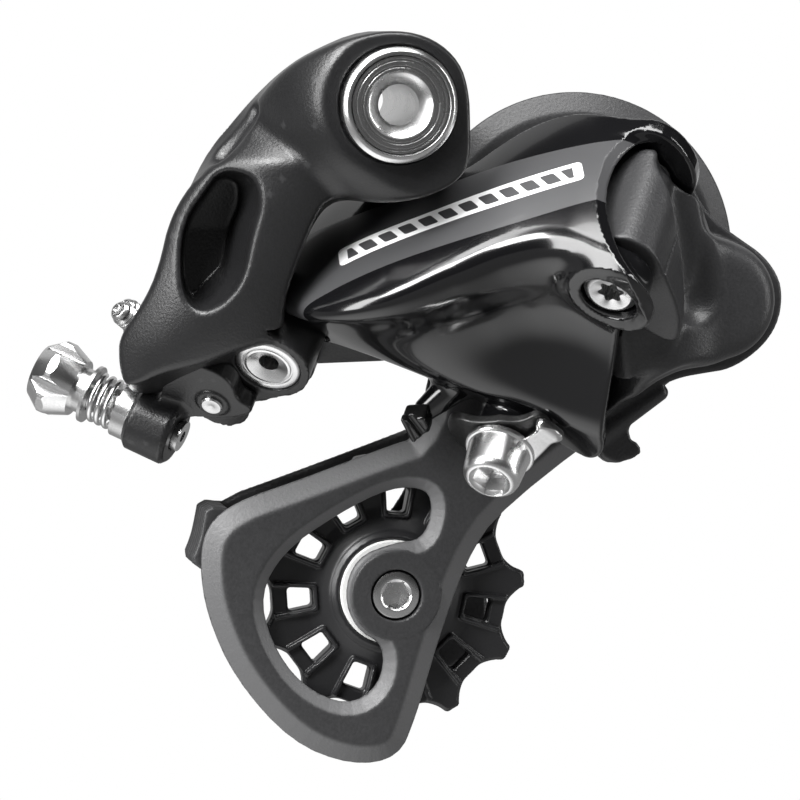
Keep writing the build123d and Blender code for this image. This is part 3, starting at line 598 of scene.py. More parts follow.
def sharpen(piece):
    """Makes a closed mesh face outwards and keeps its sharper edges crisp."""
    mesh = bmesh.new()
    mesh.from_mesh(piece.data)
    bmesh.ops.recalc_face_normals(mesh, faces=mesh.faces)
    for edge in mesh.edges:
        if len(edge.link_faces) == 2 and edge.calc_face_angle(0) > CRISP_PAST:
            edge.smooth = False
    mesh.to_mesh(piece.data)
    mesh.free()


def joined(name, parts):
    """Several pieces as one."""
    bpy.ops.object.select_all(action="DESELECT")
    for part in parts:
        part.select_set(True)
    bpy.context.view_layer.objects.active = parts[0]
    bpy.ops.object.join()
    parts[0].name = name
    return parts[0]


def threaded(low, high, radius, pitch, depth):
    """Stations of a thread drawn as close rings."""
    root = radius - depth
    rows, height = [], low
    while height < high - pitch:
        for share, row_radius in ((0, root), (0.35, radius), (0.5, radius), (0.85, root)):
            rows.append((height + share * pitch, row_radius))
        height += pitch
    return rows


# ---- finishes ----

PATCH_SCALE, RELIEF_DEPTH, COAT_ROUGHNESS = 180, 0.00005, 0.05
POINTED, VERY_POINTED = 0.52, 0.62  # how sharp an edge is where wear starts, and where it is full
WORN = (0.3, 0.3, 0.31, 1)
EDGE_SOFTNESS = 0.06


def feed(tree, socket, value):
    """Sets an input to a value, or links it to another node's output."""
    if isinstance(value, bpy.types.NodeSocket):
        tree.links.new(value, socket)
    else:
        socket.default_value = value


def added(tree, kind, **inputs):
    """A new shader node with its inputs fed by name."""
    node = tree.nodes.new("ShaderNode" + kind)
    for name, value in inputs.items():
        feed(tree, node.inputs[name.replace("_", " ")], value)
    return node


def maths(tree, operation, *values):
    """One arithmetic node; each value is a number or another node's output."""
    node = tree.nodes.new("ShaderNodeMath")
    node.operation = operation
    for socket, value in zip(node.inputs, values):
        feed(tree, socket, value)
    return node.outputs[0]


def blend_colour(tree, factor, first, second):
    node = tree.nodes.new("ShaderNodeMix")
    node.data_type = "RGBA"
    for place, value in ((0, factor), (6, first), (7, second)):
        feed(tree, node.inputs[place], value)
    return node.outputs[2]


def finish_material(name, base, roughness, metallic=0.0, coat=0.0, grain=0.0, grain_size=0.25, mottle=0.15,
                    wear=0.0):
    """A surface with fine grain in its relief and patches in its roughness and colour."""
    material = bpy.data.materials.new(name)
    material.use_nodes = True
    tree = material.node_tree
    place = tree.nodes.new("ShaderNodeTexCoord").outputs["Object"]
    patches = added(tree, "TexNoise", Scale=PATCH_SCALE, Detail=4, Vector=place).outputs["Fac"]
    smoothest, roughest = max(0.02, roughness * (1 - mottle)), min(1.0, roughness * (1 + mottle))
    rough = added(tree, "MapRange", Value=patches, To_Min=smoothest, To_Max=roughest)
    fine = added(tree, "TexNoise", Scale=1000 / grain_size, Detail=2, Vector=place).outputs["Fac"]
    uneven = min(1, grain + mottle)
    dark = [v * (1 - 0.35 * uneven) for v in base]
    light = [min(1.0, v * (1 + 0.5 * uneven)) for v in base]
    colour = blend_colour(tree, fine, (*dark, 1), (*light, 1))
    if wear:
        sharpness = tree.nodes.new("ShaderNodeNewGeometry").outputs["Pointiness"]
        worn = added(tree, "MapRange", Value=sharpness, From_Min=POINTED, From_Max=VERY_POINTED, To_Max=wear)
        colour = blend_colour(tree, worn.outputs["Result"], colour, WORN)
    surface = {
        "Base Color": colour, "Roughness": rough.outputs["Result"], "Metallic": metallic,
        "Coat Weight": coat, "Coat Roughness": COAT_ROUGHNESS,
    }
    if grain:
        relief = added(tree, "Bump", Strength=grain, Distance=RELIEF_DEPTH, Height=fine)
        surface["Normal"] = relief.outputs["Normal"]
    for socket, value in surface.items():
        feed(tree, tree.nodes["Principled BSDF"].inputs[socket], value)
    return material


def box_mask(calc, u, v, half_u, half_v, corner):
    """1 inside a round-cornered box of the plane, 0 outside."""
    over_u = calc("MAXIMUM", calc("SUBTRACT", calc("ABSOLUTE", u), half_u - corner), 0.0)
    over_v = calc("MAXIMUM", calc("SUBTRACT", calc("ABSOLUTE", v), half_v - corner), 0.0)
    square = calc("ADD", calc("MULTIPLY", over_u, over_u), calc("MULTIPLY", over_v, over_v))
    gap = calc("SUBTRACT", corner, calc("SQRT", square))
    inside = calc("MULTIPLY_ADD", gap, 1 / EDGE_SOFTNESS, 0.5)
    return calc("MINIMUM", calc("MAXIMUM", inside, 0.0), 1.0)


def marks_in(tree):
    """The three values that a sculpted piece carries at each of its points."""
    marks = tree.nodes.new("ShaderNodeAttribute")
    marks.attribute_name = "marks"
    return added(tree, "SeparateXYZ", Vector=marks.outputs["Vector"]).outputs


STRIPE_AT, STRIPE_TILT, STRIPE_HALF = (31.6, 19.1), math.radians(22.3), (19.9, 2.0)
SLOT_PITCH, SLOT_HALF, SLOT_LEAN = 3.3, (1.1, 1.15), 0.5
HATCH_HALF = (STRIPE_HALF[0] - 1.5, 1.3)
BAND_TOP, BAND_BOTTOM, BAND_SHARPNESS = (20.1, 0.311, 9.1), (5.4, 0.387, 14.1), 6.0
FACING_OUT = -6.0
SATIN_BAND, STRIPE_WHITE = (0.05, 0.05, 0.052, 1), (0.86, 0.86, 0.86, 1)


def paint_link(material):
    """Adds the satin band and a plain hatched white stripe to the link's gloss black."""
    tree = material.node_tree
    calc = functools.partial(maths, tree)
    shader = tree.nodes["Principled BSDF"]
    a, b, c = (calc("MULTIPLY", value, 10.0) for value in marks_in(tree))
    over_top, over_bottom = (
        calc("SUBTRACT", c, calc("MULTIPLY_ADD", a, slope, at - slope * start))
        for at, slope, start in (BAND_TOP, BAND_BOTTOM)
    )
    below = calc("MULTIPLY_ADD", over_top, -BAND_SHARPNESS, 0.5)
    above = calc("MULTIPLY_ADD", over_bottom, BAND_SHARPNESS, 0.5)
    outside = calc("LESS_THAN", b, FACING_OUT)
    band = calc("MAXIMUM", calc("MINIMUM", calc("MINIMUM", below, above), outside), 0.0)
    along, across = math.cos(STRIPE_TILT), math.sin(STRIPE_TILT)
    from_a = calc("SUBTRACT", a, STRIPE_AT[0])
    from_c = calc("SUBTRACT", c, STRIPE_AT[1])
    u = calc("MULTIPLY_ADD", from_a, along, calc("MULTIPLY", from_c, across))
    v = calc("MULTIPLY_ADD", from_c, along, calc("MULTIPLY", from_a, -across))
    plate = box_mask(calc, u, v, *STRIPE_HALF, 0.8)
    leaning = calc("MULTIPLY_ADD", v, SLOT_LEAN, u)
    cell = calc("SUBTRACT", calc("WRAP", leaning, SLOT_PITCH, 0.0), SLOT_PITCH / 2)
    slots = box_mask(calc, cell, v, *SLOT_HALF, 0.35)
    hatch = calc("MINIMUM", slots, box_mask(calc, u, v, *HATCH_HALF, 0.3))
    stripe = calc("SUBTRACT", plate, calc("MAXIMUM", hatch, 0.0))
    stripe = calc("MINIMUM", calc("MAXIMUM", stripe, 0.0), outside)
    black = shader.inputs["Base Color"].links[0].from_socket
    painted = blend_colour(tree, band, black, SATIN_BAND)
    painted = blend_colour(tree, stripe, painted, STRIPE_WHITE)
    gloss = shader.inputs["Roughness"].links[0].from_socket
    feed(tree, shader.inputs["Base Color"], painted)
    feed(tree, shader.inputs["Roughness"], calc("MULTIPLY_ADD", band, 0.22, gloss))
    feed(tree, shader.inputs["Coat Weight"], 0.35)


def paint_slope_reflection(material, colour):
    """Paints the sloping edges of the cage plate paler than its face, a painted reflection of the light from
    below.
    """
    tree = material.node_tree
    base = tree.nodes["Principled BSDF"].inputs["Base Color"]
    before = base.links[0].from_socket
    feed(tree, base, blend_colour(tree, marks_in(tree)[0], before, colour))


FINISHES = {  # colour, roughness and what else is special to a finish
    "polished_steel": ((0.72, 0.72, 0.72), 0.27, dict(metallic=1, mottle=0.3)),
    "brushed_steel": ((0.62, 0.62, 0.62), 0.27, dict(metallic=1, grain=0.1)),
    "spring_steel": ((0.7, 0.7, 0.7), 0.2, dict(metallic=1, mottle=0.3)),
    "dark_steel": ((0.07, 0.07, 0.07), 0.42, dict(metallic=1, grain=0.8, grain_size=0.4)),
    "brushed_alloy": ((0.66, 0.66, 0.66), 0.26, dict(metallic=1, mottle=0.3, grain=0.1)),
    "satin_black_alloy": ((0.01, 0.01, 0.0105), 0.34, dict(grain=0.8, grain_size=0.4, wear=0.05)),
    "gloss_black_alloy": ((0.004, 0.004, 0.0045), 0.16, dict(coat=0.6, mottle=0.2)),
    "matte_black_alloy": ((0.026, 0.026, 0.027), 0.46, dict(grain=1.0, grain_size=0.45, wear=0.05)),
    "black_composite": ((0.024, 0.024, 0.025), 0.4, dict(grain=1.0, grain_size=0.45)),
    "gloss_black_plastic": ((0.008, 0.008, 0.008), 0.18, dict(mottle=0.2)),
    "pulley_plastic": ((0.016, 0.016, 0.017), 0.34, dict(grain=0.25)),
    "bushing_plastic": ((0.15, 0.15, 0.15), 0.5, dict(grain=0.3)),
    "pale_plastic": ((0.75, 0.75, 0.74), 0.45, dict(grain=0.2)),
}
MATERIALS = {
    name: finish_material(name, base, roughness, **more) for name, (base, roughness, more) in FINISHES.items()
}
paint_link(MATERIALS["gloss_black_alloy"])
# painted reflection: the cage plate's sloping edges are painted paler grey
paint_slope_reflection(MATERIALS["matte_black_alloy"], (0.11, 0.11, 0.112, 1))

for name, node in frame["nodes"].items():
    slot_names = [m.name for m in node.data.materials if m]
    wanted = slot_names[0].split(".")[0] if slot_names else "satin_black_alloy"
    finish = MATERIALS.get(wanted, MATERIALS["satin_black_alloy"])
    for slot in node.material_slots:
        slot.material = finish

# ---- castings ----

sculpt("outer_link_cast", outer_link_field, LINK, (-9, -15, -5), (65, 33, 44), 0.42,
       "outer_link", "outer_arm", "gloss_black_alloy", link_marks)
sculpt("upper_body_cast", upper_body_field, ROW, (-43, -26, -56), (13, 33, 13), 0.45,
       "upper_body", "upper_knuckle", "satin_black_alloy")
sculpt("lower_body_cast", lower_body_field, ROW, (26, -32, -59), (68, 8, -3), 0.42,
       "lower_body", "lower_knuckle", "black_composite")

# ---- pulleys ----

TEETH = 11
TIP_R, ROOT_R, VALLEY_R, RIM_T = 21.8, 18.6, 6.0, 3.4
HUB_R, HUB_T, SEAL_OUTER_R = 9.4, 7.0, 8.3
WINDOW_R, WINDOW_HALF, WINDOW_FLARE, WINDOW_RIM = 14.4, (1.95, 1.65), 0.12, 0.8
PULLEYS = (  # side, body, centre and how far its teeth are turned
    ("upper", "guide_wheel", UPPER_PULLEY, math.radians(4.0)),
    ("lower", "tension_wheel", LOWER_PULLEY, math.radians(20.0)),
)


def pulley_field(u, v, w):
    """Toothed wheel in its own frame: w runs along its axle."""
    radius, angle = np.hypot(u, v), np.arctan2(v, u)
    step = 2 * math.pi / TEETH
    folded = (angle + step / 2) % step - step / 2
    x, y = radius * np.cos(folded), radius * np.sin(folded)
    face = smooth_max(0.5, radius - TIP_R, VALLEY_R - np.hypot(x - ROOT_R - VALLEY_R, y))
    flare = RIM_T / 2 - 0.05 * np.maximum(radius - 17.5, 0)
    wheel = chamfer_max(0.5, face, np.abs(w) - flare)
    hub = chamfer_max(0.5, radius - HUB_R, np.abs(w) - HUB_T / 2)
    cheek_top = HUB_T / 2 - 0.35 - 0.42 * np.maximum(radius - 9.0, 0)
    cheek = smooth_max(0.5, radius - 13.0, np.abs(w) - cheek_top)
    wheel = smooth_min(0.7, wheel, hub, cheek)
    # windows with a raised rim round each, open inwards
    bar_x = x - WINDOW_R
    beside = np.abs(y) - (WINDOW_HALF[1] + WINDOW_FLARE * bar_x)
    window = smooth_max(0.7, np.abs(bar_x) - WINDOW_HALF[0], beside)
    trough = smooth_max(0.5, beside, -WINDOW_HALF[0] - bar_x)
    collar_top = RIM_T / 2 + 1.0 - 0.12 * np.maximum(bar_x, 0)
    collar = smooth_max(0.3, trough - WINDOW_RIM, radius - 18.8, np.abs(w) - collar_top)
    wheel = smooth_min(0.3, wheel, collar)
    wheel = carve(0.3, wheel, np.maximum(trough, RIM_T / 2 - 0.2 - np.abs(w)))
    wheel = chamfer_carve(0.35, wheel, window)
    return chamfer_carve(0.3, wheel, radius - SEAL_OUTER_R + 0.02)


for side, body, (centre_x, centre_z), turn in PULLEYS:
    wheel_axes = ((math.cos(turn), 0, math.sin(turn)), (-math.sin(turn), 0, math.cos(turn)), (0, -1, 0))
    wheel_place = Place((centre_x, PULLEY_Y, centre_z), wheel_axes)
    sculpt(side + "_pulley_moulded", pulley_field, wheel_place, (-22.5, -22.5, -4.2), (22.5, 22.5, 4.2), 0.3,
           side + "_pulley", body, "pulley_plastic")

# ---- cage plates ----

OUTER_EDGE = rounded((
    (9.5, -52.4), (2, -54.7), (-11, -59.4), (-20.5, -62.4), (-25.2, -66), (-26.4, -72), (-25.2, -80.4),
    (-20.8, -90.4), (-12, -100.6), (-2.4, -104.6), (5.2, -103.6), (8, -97), (11.2, -86), (15.9, -72.5),
    (21.6, -64.2), (47.7, -45.5), (45, -30), (33, -20), (12, -34),
), 2)
PLATE_WINDOW = rounded((
    (4, -60.6), (9.8, -61), (10.6, -64.5), (9, -69), (4.5, -69.4), (-1.6, -71.6), (-3.6, -77.5),
    (-1.7, -83), (3, -85.6), (2.2, -92), (-3, -95.2), (-10.4, -91.6), (-15.2, -84.5), (-16.8, -77),
    (-13, -70.4), (-4.7, -64.8),
), 2)
DISC_R, PLATE_Y, BEVEL_DROP = 25.6, (4.6, 7.4), 1.9


def cage_outer_plate_field(x, y, z):
    body = np.minimum(outline(x, z, OUTER_EDGE), disc(x, z, UPPER_PULLEY, DISC_R))
    window = outline(x, z, PLATE_WINDOW)
    flat = slab(y, *PLATE_Y)
    face = smooth_max(0.3, bevelled(body, flat, y, 3.3), bevelled(-window, flat, y, 2.1))
    boss = smooth_max(0.3, disc(x, z, LOWER_PULLEY, 7.2), slab(y, PLATE_Y[0], PLATE_Y[1] + 0.6))
    face = np.minimum(face, boss)
    face = carve(0.2, face, np.maximum(disc(x, z, LOWER_PULLEY, 4.05), y - PLATE_Y[0] - 1.8))
    for centre_at, radius in ((LOWER_PULLEY, 2.52), (UPPER_PULLEY, 2.52), (CAGE_PIVOT, 4.02)):
        face = np.maximum(face, -disc(x, z, centre_at, radius))
    return face


def bevelled(edge, flat, y, width):
    """A plate's edge with a broad slope on its outer face and a small one behind."""
    steepness = BEVEL_DROP / width
    slope = (edge * steepness + PLATE_Y[0] - y + BEVEL_DROP) / math.hypot(1, steepness)
    return smooth_max(0.2, np.maximum(edge, flat), slope, (edge + flat + 0.3) * 0.7071)


def plate_slope_reflection(x, y, z):
    """How much painted reflection a point of the plate takes: how far down the sloping edges it lies, 0 on
    its flat face, and fading out higher up the plate.
    """
    fall = np.clip((y - PLATE_Y[0] - 0.12) / 0.25, 0, 1) * (y < PLATE_Y[0] + BEVEL_DROP + 0.1)
    # the painted reflection is full below z = -54 and gone above z = -40, paler lower down
    fall = fall * np.clip((-40.0 - z) / 14, 0, 1)
    away = np.clip((disc(x, z, LOWER_PULLEY, 4.6) - 0.1) / 0.3, 0, 1)
    return np.stack([fall * away, 0 * x, 0 * x], axis=1)


# the outer plate carries its painted slope reflection in its marks
sculpt("cage_outer_plate_forged", cage_outer_plate_field, ROW, (-28, 3.6, -107), (60, 9.2, 3), 0.4,
       "cage_outer_plate", "cage", "matte_black_alloy", plate_slope_reflection)

INNER_ARM = rounded((
    (19, -14), (14, -34), (10.5, -52), (9, -62), (2, -70), (-3, -78), (0, -86), (8, -92), (17, -91.5),
    (22, -84), (21, -77), (16, -73), (19, -65), (47, -44), (53, -24), (40, -10),
), 2)
CHAIN_GUARD = rounded((
    (-24.5, -66.5), (-21, -63), (-11, -59.6), (2, -55), (13, -51), (13, -59.5), (3, -59.4), (-10, -64.3),
    (-18, -69),
), 1)
CHAIN_TAB = rounded((
    (-25, -63.2), (-20.8, -63.8), (-22.2, -67.5), (-22.6, -70.4), (-23.9, -74.2), (-25.6, -73.2),
    (-27.4, -71.9), (-26.2, -69), (-25.6, -66.4),
), 1)
INNER_WINDOW = rounded(((24, -32), (17, -46), (15, -58), (24, -55), (36, -42)), 2)
INNER_Y = (17.2, 19.0)


def cage_inner_plate_field(x, y, z):
    face = smooth_min(2.0, outline(x, z, INNER_ARM), outline(x, z, CHAIN_GUARD))
    plate_body = chamfer_max(0.5, face, slab(y, *INNER_Y))
    plate_body = chamfer_carve(0.5, plate_body, outline(x, z, INNER_WINDOW))
    # pressed bead along the chain guard and the bent tab with its lipped end
    bead = taper_bar((x, y, z), (-17.5, INNER_Y[0], -65.6), (9.0, INNER_Y[0], -55.6), 0.9, 0.9)
    plate_body = smooth_min(0.8, plate_body, bead)
    ribbed = outline(x, z, CHAIN_TAB) + 0.16 * np.cos(3.4 * y)
    tab = smooth_max(0.4, ribbed, slab(y, PLATE_Y[1] + 0.35, INNER_Y[1]))
    plate_body = smooth_min(0.8, plate_body, tab)
    for centre_at in (LOWER_PULLEY, UPPER_PULLEY):
        plate_body = np.maximum(plate_body, -disc(x, z, centre_at, 2.12))
    return plate_body


sculpt("cage_inner_plate_pressed", cage_inner_plate_field, ROW, (-29, 7, -94), (55, 20, -8), 0.42,
       "cage_inner_plate", "cage", "matte_black_alloy")

# ---- carrier of the barrel adjuster, clamp washer and cable guide ----

ADJUSTER = axis_place(ADJUSTER_AT, ADJUSTER_AXIS)
CARRIER_PIN = (-9.8, 3.5)
CARRIER_FACE = rounded((
    (-13.4, -4.6), (-9.1, -4.9), (-6, -2.6), (-4.9, 0.4), (-5.6, 3.4), (-3.8, 5.2), (-4.6, 6.9),
    (-9.9, 7.4), (-14.9, 6.4), (-18, 7), (-18.6, 2), (-16.2, -1.6),
), 2)


def adjuster_carrier_field(x, y, z):
    a, b, c = LINK.local(x, y, z)
    u, v, w = ADJUSTER.local(x, y, z)
    barrel = chamfer_max(0.7, np.hypot(u, v) - 5.4, slab(w, -4.0, 3.4))
    ear = smooth_max(0.5, outline(a, b, CARRIER_FACE), slab(c, -3.5, -0.05))
    carrier = smooth_min(1.6, barrel, ear)
    raised = smooth_max(0.3, disc(a, b, CARRIER_PIN, 2.6), slab(c, -3.9, -1.0))
    carrier = smooth_min(0.5, carrier, raised)
    slot_cut = smooth_max(0.3, np.abs(v) - 0.6, np.maximum(-u, 1.4 - w))
    carrier = carve(0.3, carrier, slot_cut)
    carrier = carve(0.3, carrier, np.hypot(u, v) - 2.65)
    return carve(0.2, carrier, disc(a, b, CARRIER_PIN, 1.52))


sculpt("adjuster_carrier_forged", adjuster_carrier_field, ROW, (-46, -14, -62), (-14, 16, -38), 0.36,
       "adjuster_carrier", "upper_knuckle", "satin_black_alloy")


def clamp_washer_field(a, b, c):
    u, v = a - CLAMP_AT[0], b - CLAMP_AT[1]
    wing = taper_bar((u, v), (0, 0), (-4.6, -1.2), 5.9, 4.6)
    hook = taper_bar((u, v), (3.0, -1.6), (6.4, -2.6), 3.0, 2.2)
    bow = 0.035 * u ** 2
    washer = smooth_max(0.35, smooth_min(1.2, wing, hook), slab(c - bow, 3.2, 4.9))
    return np.maximum(washer, -disc(a, b, CLAMP_AT, 2.62))


def washer_hook_field(a, b, c):
    u, v = a - CLAMP_AT[0], b - CLAMP_AT[1]
    tongue = taper_bar((u, v), (2.4, 1.6), (8.2, -1.8), 2.4, 1.7)
    tongue = smooth_max(0.4, tongue, slab(c - 0.02 * u ** 2, 1.9, 2.9), 5.3 - np.hypot(u, v))
    lip = taper_bar((u, v, c), (8.0, -3.6, 4.2), (9.4, -0.6, 4.6), 1.0, 1.0)
    return smooth_min(1.0, tongue, lip)


sculpt("cable_clamp_washer_pressed", clamp_washer_field, LINK, (18, 16, 1.5), (40, 32, 9), 0.22,
       "cable_clamp_washer", "outer_arm", "dark_steel")
sculpt("cable_clamp_hook_pressed", washer_hook_field, LINK, (30, 16, 0.5), (42, 30, 8), 0.2,
       "cable_clamp_washer", "outer_arm", "brushed_steel")


def cable_guide_field(a, b, c):
    u, v = a - GUIDE_AT[0], b - GUIDE_AT[1]
    block = smooth_max(0.6, np.abs(u) - 2.0, np.abs(v) - 2.4, slab(c, GUIDE_C[0], GUIDE_C[1]))
    block = chamfer_max(0.9, block, u * 0.55 + v * 0.6 - 1.8)
    groove = taper_bar((u, v, c), (-0.4, -3.2, GUIDE_C[0] + 0.2), (0.8, 3.2, GUIDE_C[0] + 0.2), 0.75, 0.75)
    rib_slab = slab(c, GUIDE_C[0] - 0.3, GUIDE_C[0] + 1.0)
    rib = smooth_max(0.3, np.abs(u + 1.5) - 0.35, np.abs(v) - 2.6, rib_slab)
    return smooth_min(0.3, carve(0.3, block, groove), rib)


guide_low = (GUIDE_AT[0] - 4, GUIDE_AT[1] - 4, GUIDE_C[0] - 1.5)
guide_high = (GUIDE_AT[0] + 4, GUIDE_AT[1] + 4, GUIDE_C[1] + 1.5)
sculpt("cable_guide_moulded", cable_guide_field, LINK, guide_low, guide_high, 0.2,
       "cable_guide", "outer_arm", "gloss_black_plastic")

# ---- turned hardware ----

OUTBOARD = axis_place((0, 0, 0), (0, -1, 0))


def facing(x, z):
    """A frame at a point of the side view whose third axis faces outboard."""
    return Place((x, 0, z), OUTBOARD.axes)


def on_link(a, b):
    """A frame on a pin of the links, its third axis facing outboard."""
    return axis_place(LINK.to_row(np.array([a, b, 0])), -PIN)


def box_mm(node):
    return (np.array(corner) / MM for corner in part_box(node))


def fit(name, place, stations, node, body, slot):
    """A turned piece in the place of a node."""
    stand_for(turned(name, place, stations, slot), node, body)


bolt_low, bolt_high = box_mm("hanger_bolt")
top, end = -bolt_low[1], -bolt_high[1]
fit("hanger_bolt_turned", facing(0, 0), [
    (end, 3.1), (end, 4.4), (end + 0.6, 5.0), *threaded(end + 0.7, -0.2, 5.0, 1.0, 0.45), (-0.1, 4.55),
    (-0.05, 4.55), (0.9, 4.55), (0.95, 5.9), (top - 2.6, 5.9), (top - 2.6, 8.5), (top - 2.4, 8.7),
    (top - 0.7, 8.7), (top - 0.1, 8.2), (top, 8.0), (top, 7.6), (top - 0.7, 7.3), (top - 0.7, 5.2),
    (top - 0.1, 5.1), (top - 0.05, 4.9), (top - 0.15, 4.7), (top - 1.9, 3.3), (top - 2.2, 3.1), (end, 3.1),
], "hanger_bolt", "hanger_fixing", "polished_steel")
fit("hanger_bolt_ring", facing(0, 0), [
    (top - 0.75, 5.12), (top - 0.2, 5.12), (top - 0.2, 5.5), (top - 0.4, 5.6), (top - 0.4, 5.9),
    (top - 0.2, 6.0), (top - 0.2, 6.5), (top - 0.45, 6.6), (top - 0.45, 6.9), (top - 0.25, 7.0),
    (top - 0.25, 7.3), (top - 0.75, 7.35), (top - 0.75, 5.12),
], "hanger_bolt", "hanger_fixing", "brushed_steel")

fit("upper_outer_pin_turned", on_link(0, 0), [
    (-28.8, 2.5), (-1.6, 2.5), (-1.6, 5.15), (-0.3, 5.15), (-0.1, 4.95), (0.0, 4.7), (-0.05, 4.1),
    (-0.35, 4.0), (-0.35, 3.8), (-0.1, 3.65), (-0.05, 3.3), (-0.7, 1.9), (-0.9, 1.6), (-14.0, 1.5),
], "upper_outer_pin", "upper_knuckle", "polished_steel")
fit("carrier_rivet_turned", on_link(*CARRIER_PIN), [
    (-3.9, 1.2), (-3.9, 1.48), (3.7, 1.48), (3.7, 1.75), (4.2, 1.72), (4.45, 1.5), (4.5, 0.6), (4.35, 0.3),
], "carrier_pin", "upper_knuckle", "brushed_steel")
fit("lower_outer_screw_turned", on_link(LINK_LENGTH, 0), [
    (-38.8, 2.0), (-38.3, 2.5), (-13.0, 2.5), (-13.0, 4.1), (-12.7, 4.25), (-11.6, 4.25), (-11.0, 3.7),
    (-10.8, 3.2), (-11.1, 2.3), (-11.3, 1.75, "star"), (-17.0, 1.65, "star"),
], "lower_outer_screw", "lower_knuckle", "polished_steel")
fit("cable_clamp_bolt_turned", on_link(*CLAMP_AT), [
    (-9.4, 2.1), (-9.0, 2.45), (-3.1, 2.45), (-3.1, 5.3), (-2.9, 5.5), (-2.3, 5.5), (-2.1, 5.3),
    (-2.05, 5.0), (-1.6, 4.9), (2.4, 4.55), (3.2, 4.3), (3.7, 3.9), (3.9, 3.5), (3.9, 3.3), (3.6, 3.0),
    (3.4, 2.5, 6), (0.9, 2.48, 6), (0.8, 2.3),
], "cable_clamp_bolt", "outer_arm", "polished_steel")

for side, centre_at, socket_r in (("lower", LOWER_PULLEY, 2.0), ("upper", UPPER_PULLEY, 1.25)):
    low_box, high_box = box_mm(side + "_pulley_bolt")
    top, end, head = -low_box[1], -high_box[1], (high_box[0] - low_box[0]) / 2
    fit(side + "_pulley_bolt_turned", facing(*centre_at), [
        (end, 1.6), (end + 0.4, 2.05), (end + 2.4, 2.08), (end + 2.4, 2.46), (top - 1.4, 2.46),
        (top - 1.4, head - 0.1), (top - 1.2, head), (top - 0.35, head), (top - 0.1, head - 0.15),
        (top, head - 0.4), (top, socket_r + 0.5), (top - 0.12, socket_r + 0.35), (top - 0.25, socket_r, 6),
        (top - 2.0, socket_r - 0.02, 6), (top - 2.0, socket_r - 0.3),
    ], side + "_pulley_bolt", "cage", "brushed_alloy")

SEAL = ((2.55, 8.25), (3.45, 8.25), (3.7, 8.0), (3.7, 6.2), (3.35, 5.7), (2.55, 5.6), (2.55, 8.25))
for side, body, centre_at, _ in PULLEYS:
    rings = []
    for near in (1, -1):
        stations = [(near * height - PULLEY_Y, radius) for height, radius in SEAL]
        rings.append(turned(f"{side}_seal_{near}", facing(*centre_at), stations, "pale_plastic"))
    stand_for(joined(side + "_pulley_dust_rings", rings), side + "_pulley_seals", body)

for limit in ("high", "low"):
    joint = JOINTS[limit + "_limit_turn"]
    fit(f"limit_screw_{limit}_turned", axis_place(joint_at(joint["name"]), -unit(joint["axis"])), [
        (-9.0, 1.3), *threaded(-8.8, 3.0, 1.9, 0.75, 0.35), (3.0, 1.6), (3.4, 1.25), (3.45, 1.15),
        (3.1, 1.0, 6), (1.5, 0.98, 6), (1.3, 0.5),
    ], "limit_screw_" + limit, "screw_" + limit, "brushed_steel")

# ---- floor, light and camera (metres) ----

low, high = (np.array(corner) for corner in cad_box)
centre = (low + high) / 2
NEAR_GLOW, FAR_GLOW, BACKDROP_GLOW, ROOM_GLOW = 1.5, 0.3, 0.6, 0.03
GLOW_OFFSET, GLOW_FULL, GLOW_FADED = (-0.09, -0.03), 0.03, 0.21
FLOOR_DROP, FLOOR_HALF, FLOOR_BEHIND = 0.12, 1.6, 0.9
BEND_R, BEND_STEPS, WALL_HEIGHT = 0.35, 16, 2.2


def fading_glow(tree):
    """A glow that is strongest on the floor just under the object."""
    away = tree.nodes.new("ShaderNodeVectorMath")
    away.operation = "DISTANCE"
    glow_x, glow_y = centre[0] + GLOW_OFFSET[0], centre[1] + GLOW_OFFSET[1]
    away.inputs[1].default_value = (glow_x, glow_y, low[2] - FLOOR_DROP)
    feed(tree, away.inputs[0], tree.nodes.new("ShaderNodeNewGeometry").outputs["Position"])
    fade = added(tree, "MapRange", Value=away.outputs["Value"], From_Min=GLOW_FULL, From_Max=GLOW_FADED,
                 To_Min=NEAR_GLOW, To_Max=FAR_GLOW)
    fade.interpolation_type = "SMOOTHSTEP"
    return fade.outputs["Result"]


def backlit(tree, kind, output, given):
    """White to look at, and only a soft glow to what it lights."""
    seen = tree.nodes.new("ShaderNodeLightPath").outputs["Is Camera Ray"]
    strength = added(tree, "MapRange", Value=seen, To_Min=given, To_Max=1.0)
    glow = added(tree, kind, Color=(1, 1, 1, 1), Strength=strength.outputs["Result"])
    feed(tree, tree.nodes[output].inputs["Surface"], glow.outputs[0])


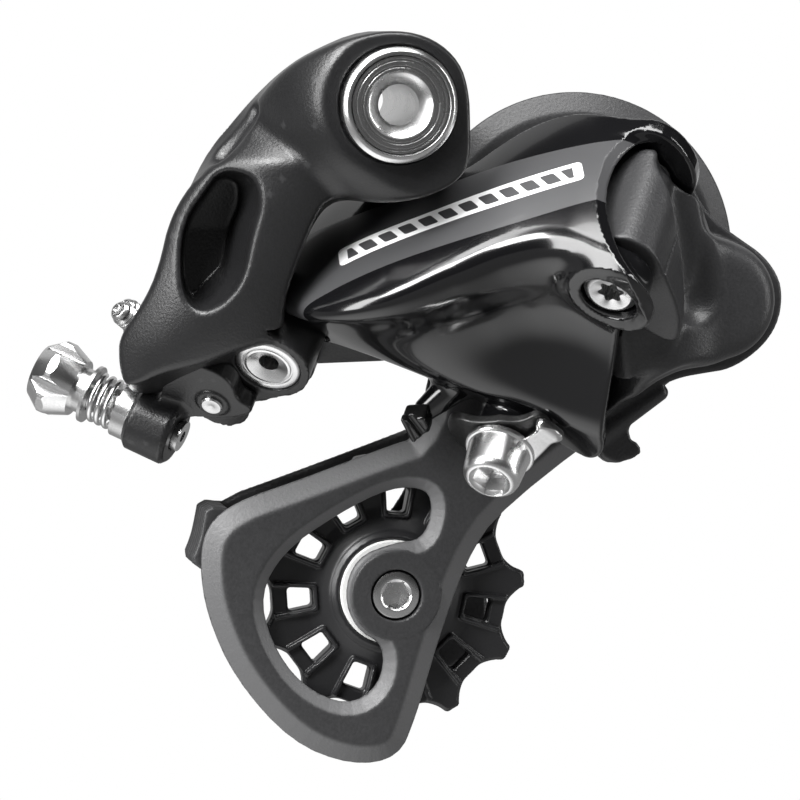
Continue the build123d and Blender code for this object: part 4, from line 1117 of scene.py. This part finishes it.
def pale_floor():
    """One sheet that runs level under the object and curves up behind it."""
    rise = [(FLOOR_BEHIND, 0.0)]
    for i in range(1, BEND_STEPS + 1):
        angle = math.pi / 2 * i / BEND_STEPS
        rise.append((FLOOR_BEHIND + BEND_R * math.sin(angle), BEND_R * (1 - math.cos(angle))))
    rise.append((FLOOR_BEHIND + BEND_R, WALL_HEIGHT))
    base = low[2] - FLOOR_DROP
    for name, profile in (("pale_floor", [(-FLOOR_HALF, 0.0), rise[0]]), ("pale_backdrop", rise)):
        corners = [(x, y, base + z) for y, z in profile for x in (-FLOOR_HALF, FLOOR_HALF)]
        faces = [(2 * i, 2 * i + 1, 2 * i + 3, 2 * i + 2) for i in range(len(profile) - 1)]
        paint = bpy.data.materials.new(name)
        paint.use_nodes = True
        given = fading_glow(paint.node_tree) if name == "pale_floor" else BACKDROP_GLOW
        backlit(paint.node_tree, "Emission", "Material Output", given)
        mesh_object(name, np.array(corners) / MM, faces, paint)


def area_light(name, place, size, power):
    """A rectangle of light that faces the object."""
    data = bpy.data.lights.new(name, "AREA")
    data.shape = "RECTANGLE"
    data.size, data.size_y = size
    data.energy = power
    lamp = bpy.data.objects.new(name, data)
    bpy.context.scene.collection.objects.link(lamp)
    lamp.location = place
    lamp.rotation_euler = facing_turn(place, centre)


def facing_turn(place, aim):
    """The turn that points a lamp or a camera at a place."""
    return (Vector(aim) - Vector(place)).to_track_quat("-Z", "Y").to_euler()


pale_floor()
area_light("top_box", (-0.05, -0.3, 0.75), (0.8, 0.4), 12)
area_light("left_box", (-0.75, -0.35, 0.2), (0.25, 0.7), 7)
area_light("right_strip", (0.75, -0.25, 0.1), (0.08, 0.8), 2.5)
area_light("key_box", (-0.55, -0.55, 0.6), (0.35, 0.3), 11)

world = bpy.data.worlds.new("studio")
world.use_nodes = True
backlit(world.node_tree, "Background", "World Output", ROOM_GLOW)
bpy.context.scene.world = world
bpy.context.scene.view_settings.view_transform = "Standard"

CAMERA_AT = (-0.12566, -0.73663, 0.01909)
CAMERA_AIM = (0.00408, -0.00083, -0.04628)
camera = bpy.data.cameras.new("camera")
camera.lens = 217.7
camera.sensor_width = 36
viewer = bpy.data.objects.new("camera", camera)
viewer.location = CAMERA_AT
viewer.rotation_euler = facing_turn(CAMERA_AT, CAMERA_AIM)
bpy.context.scene.collection.objects.link(viewer)
bpy.context.scene.camera = viewer
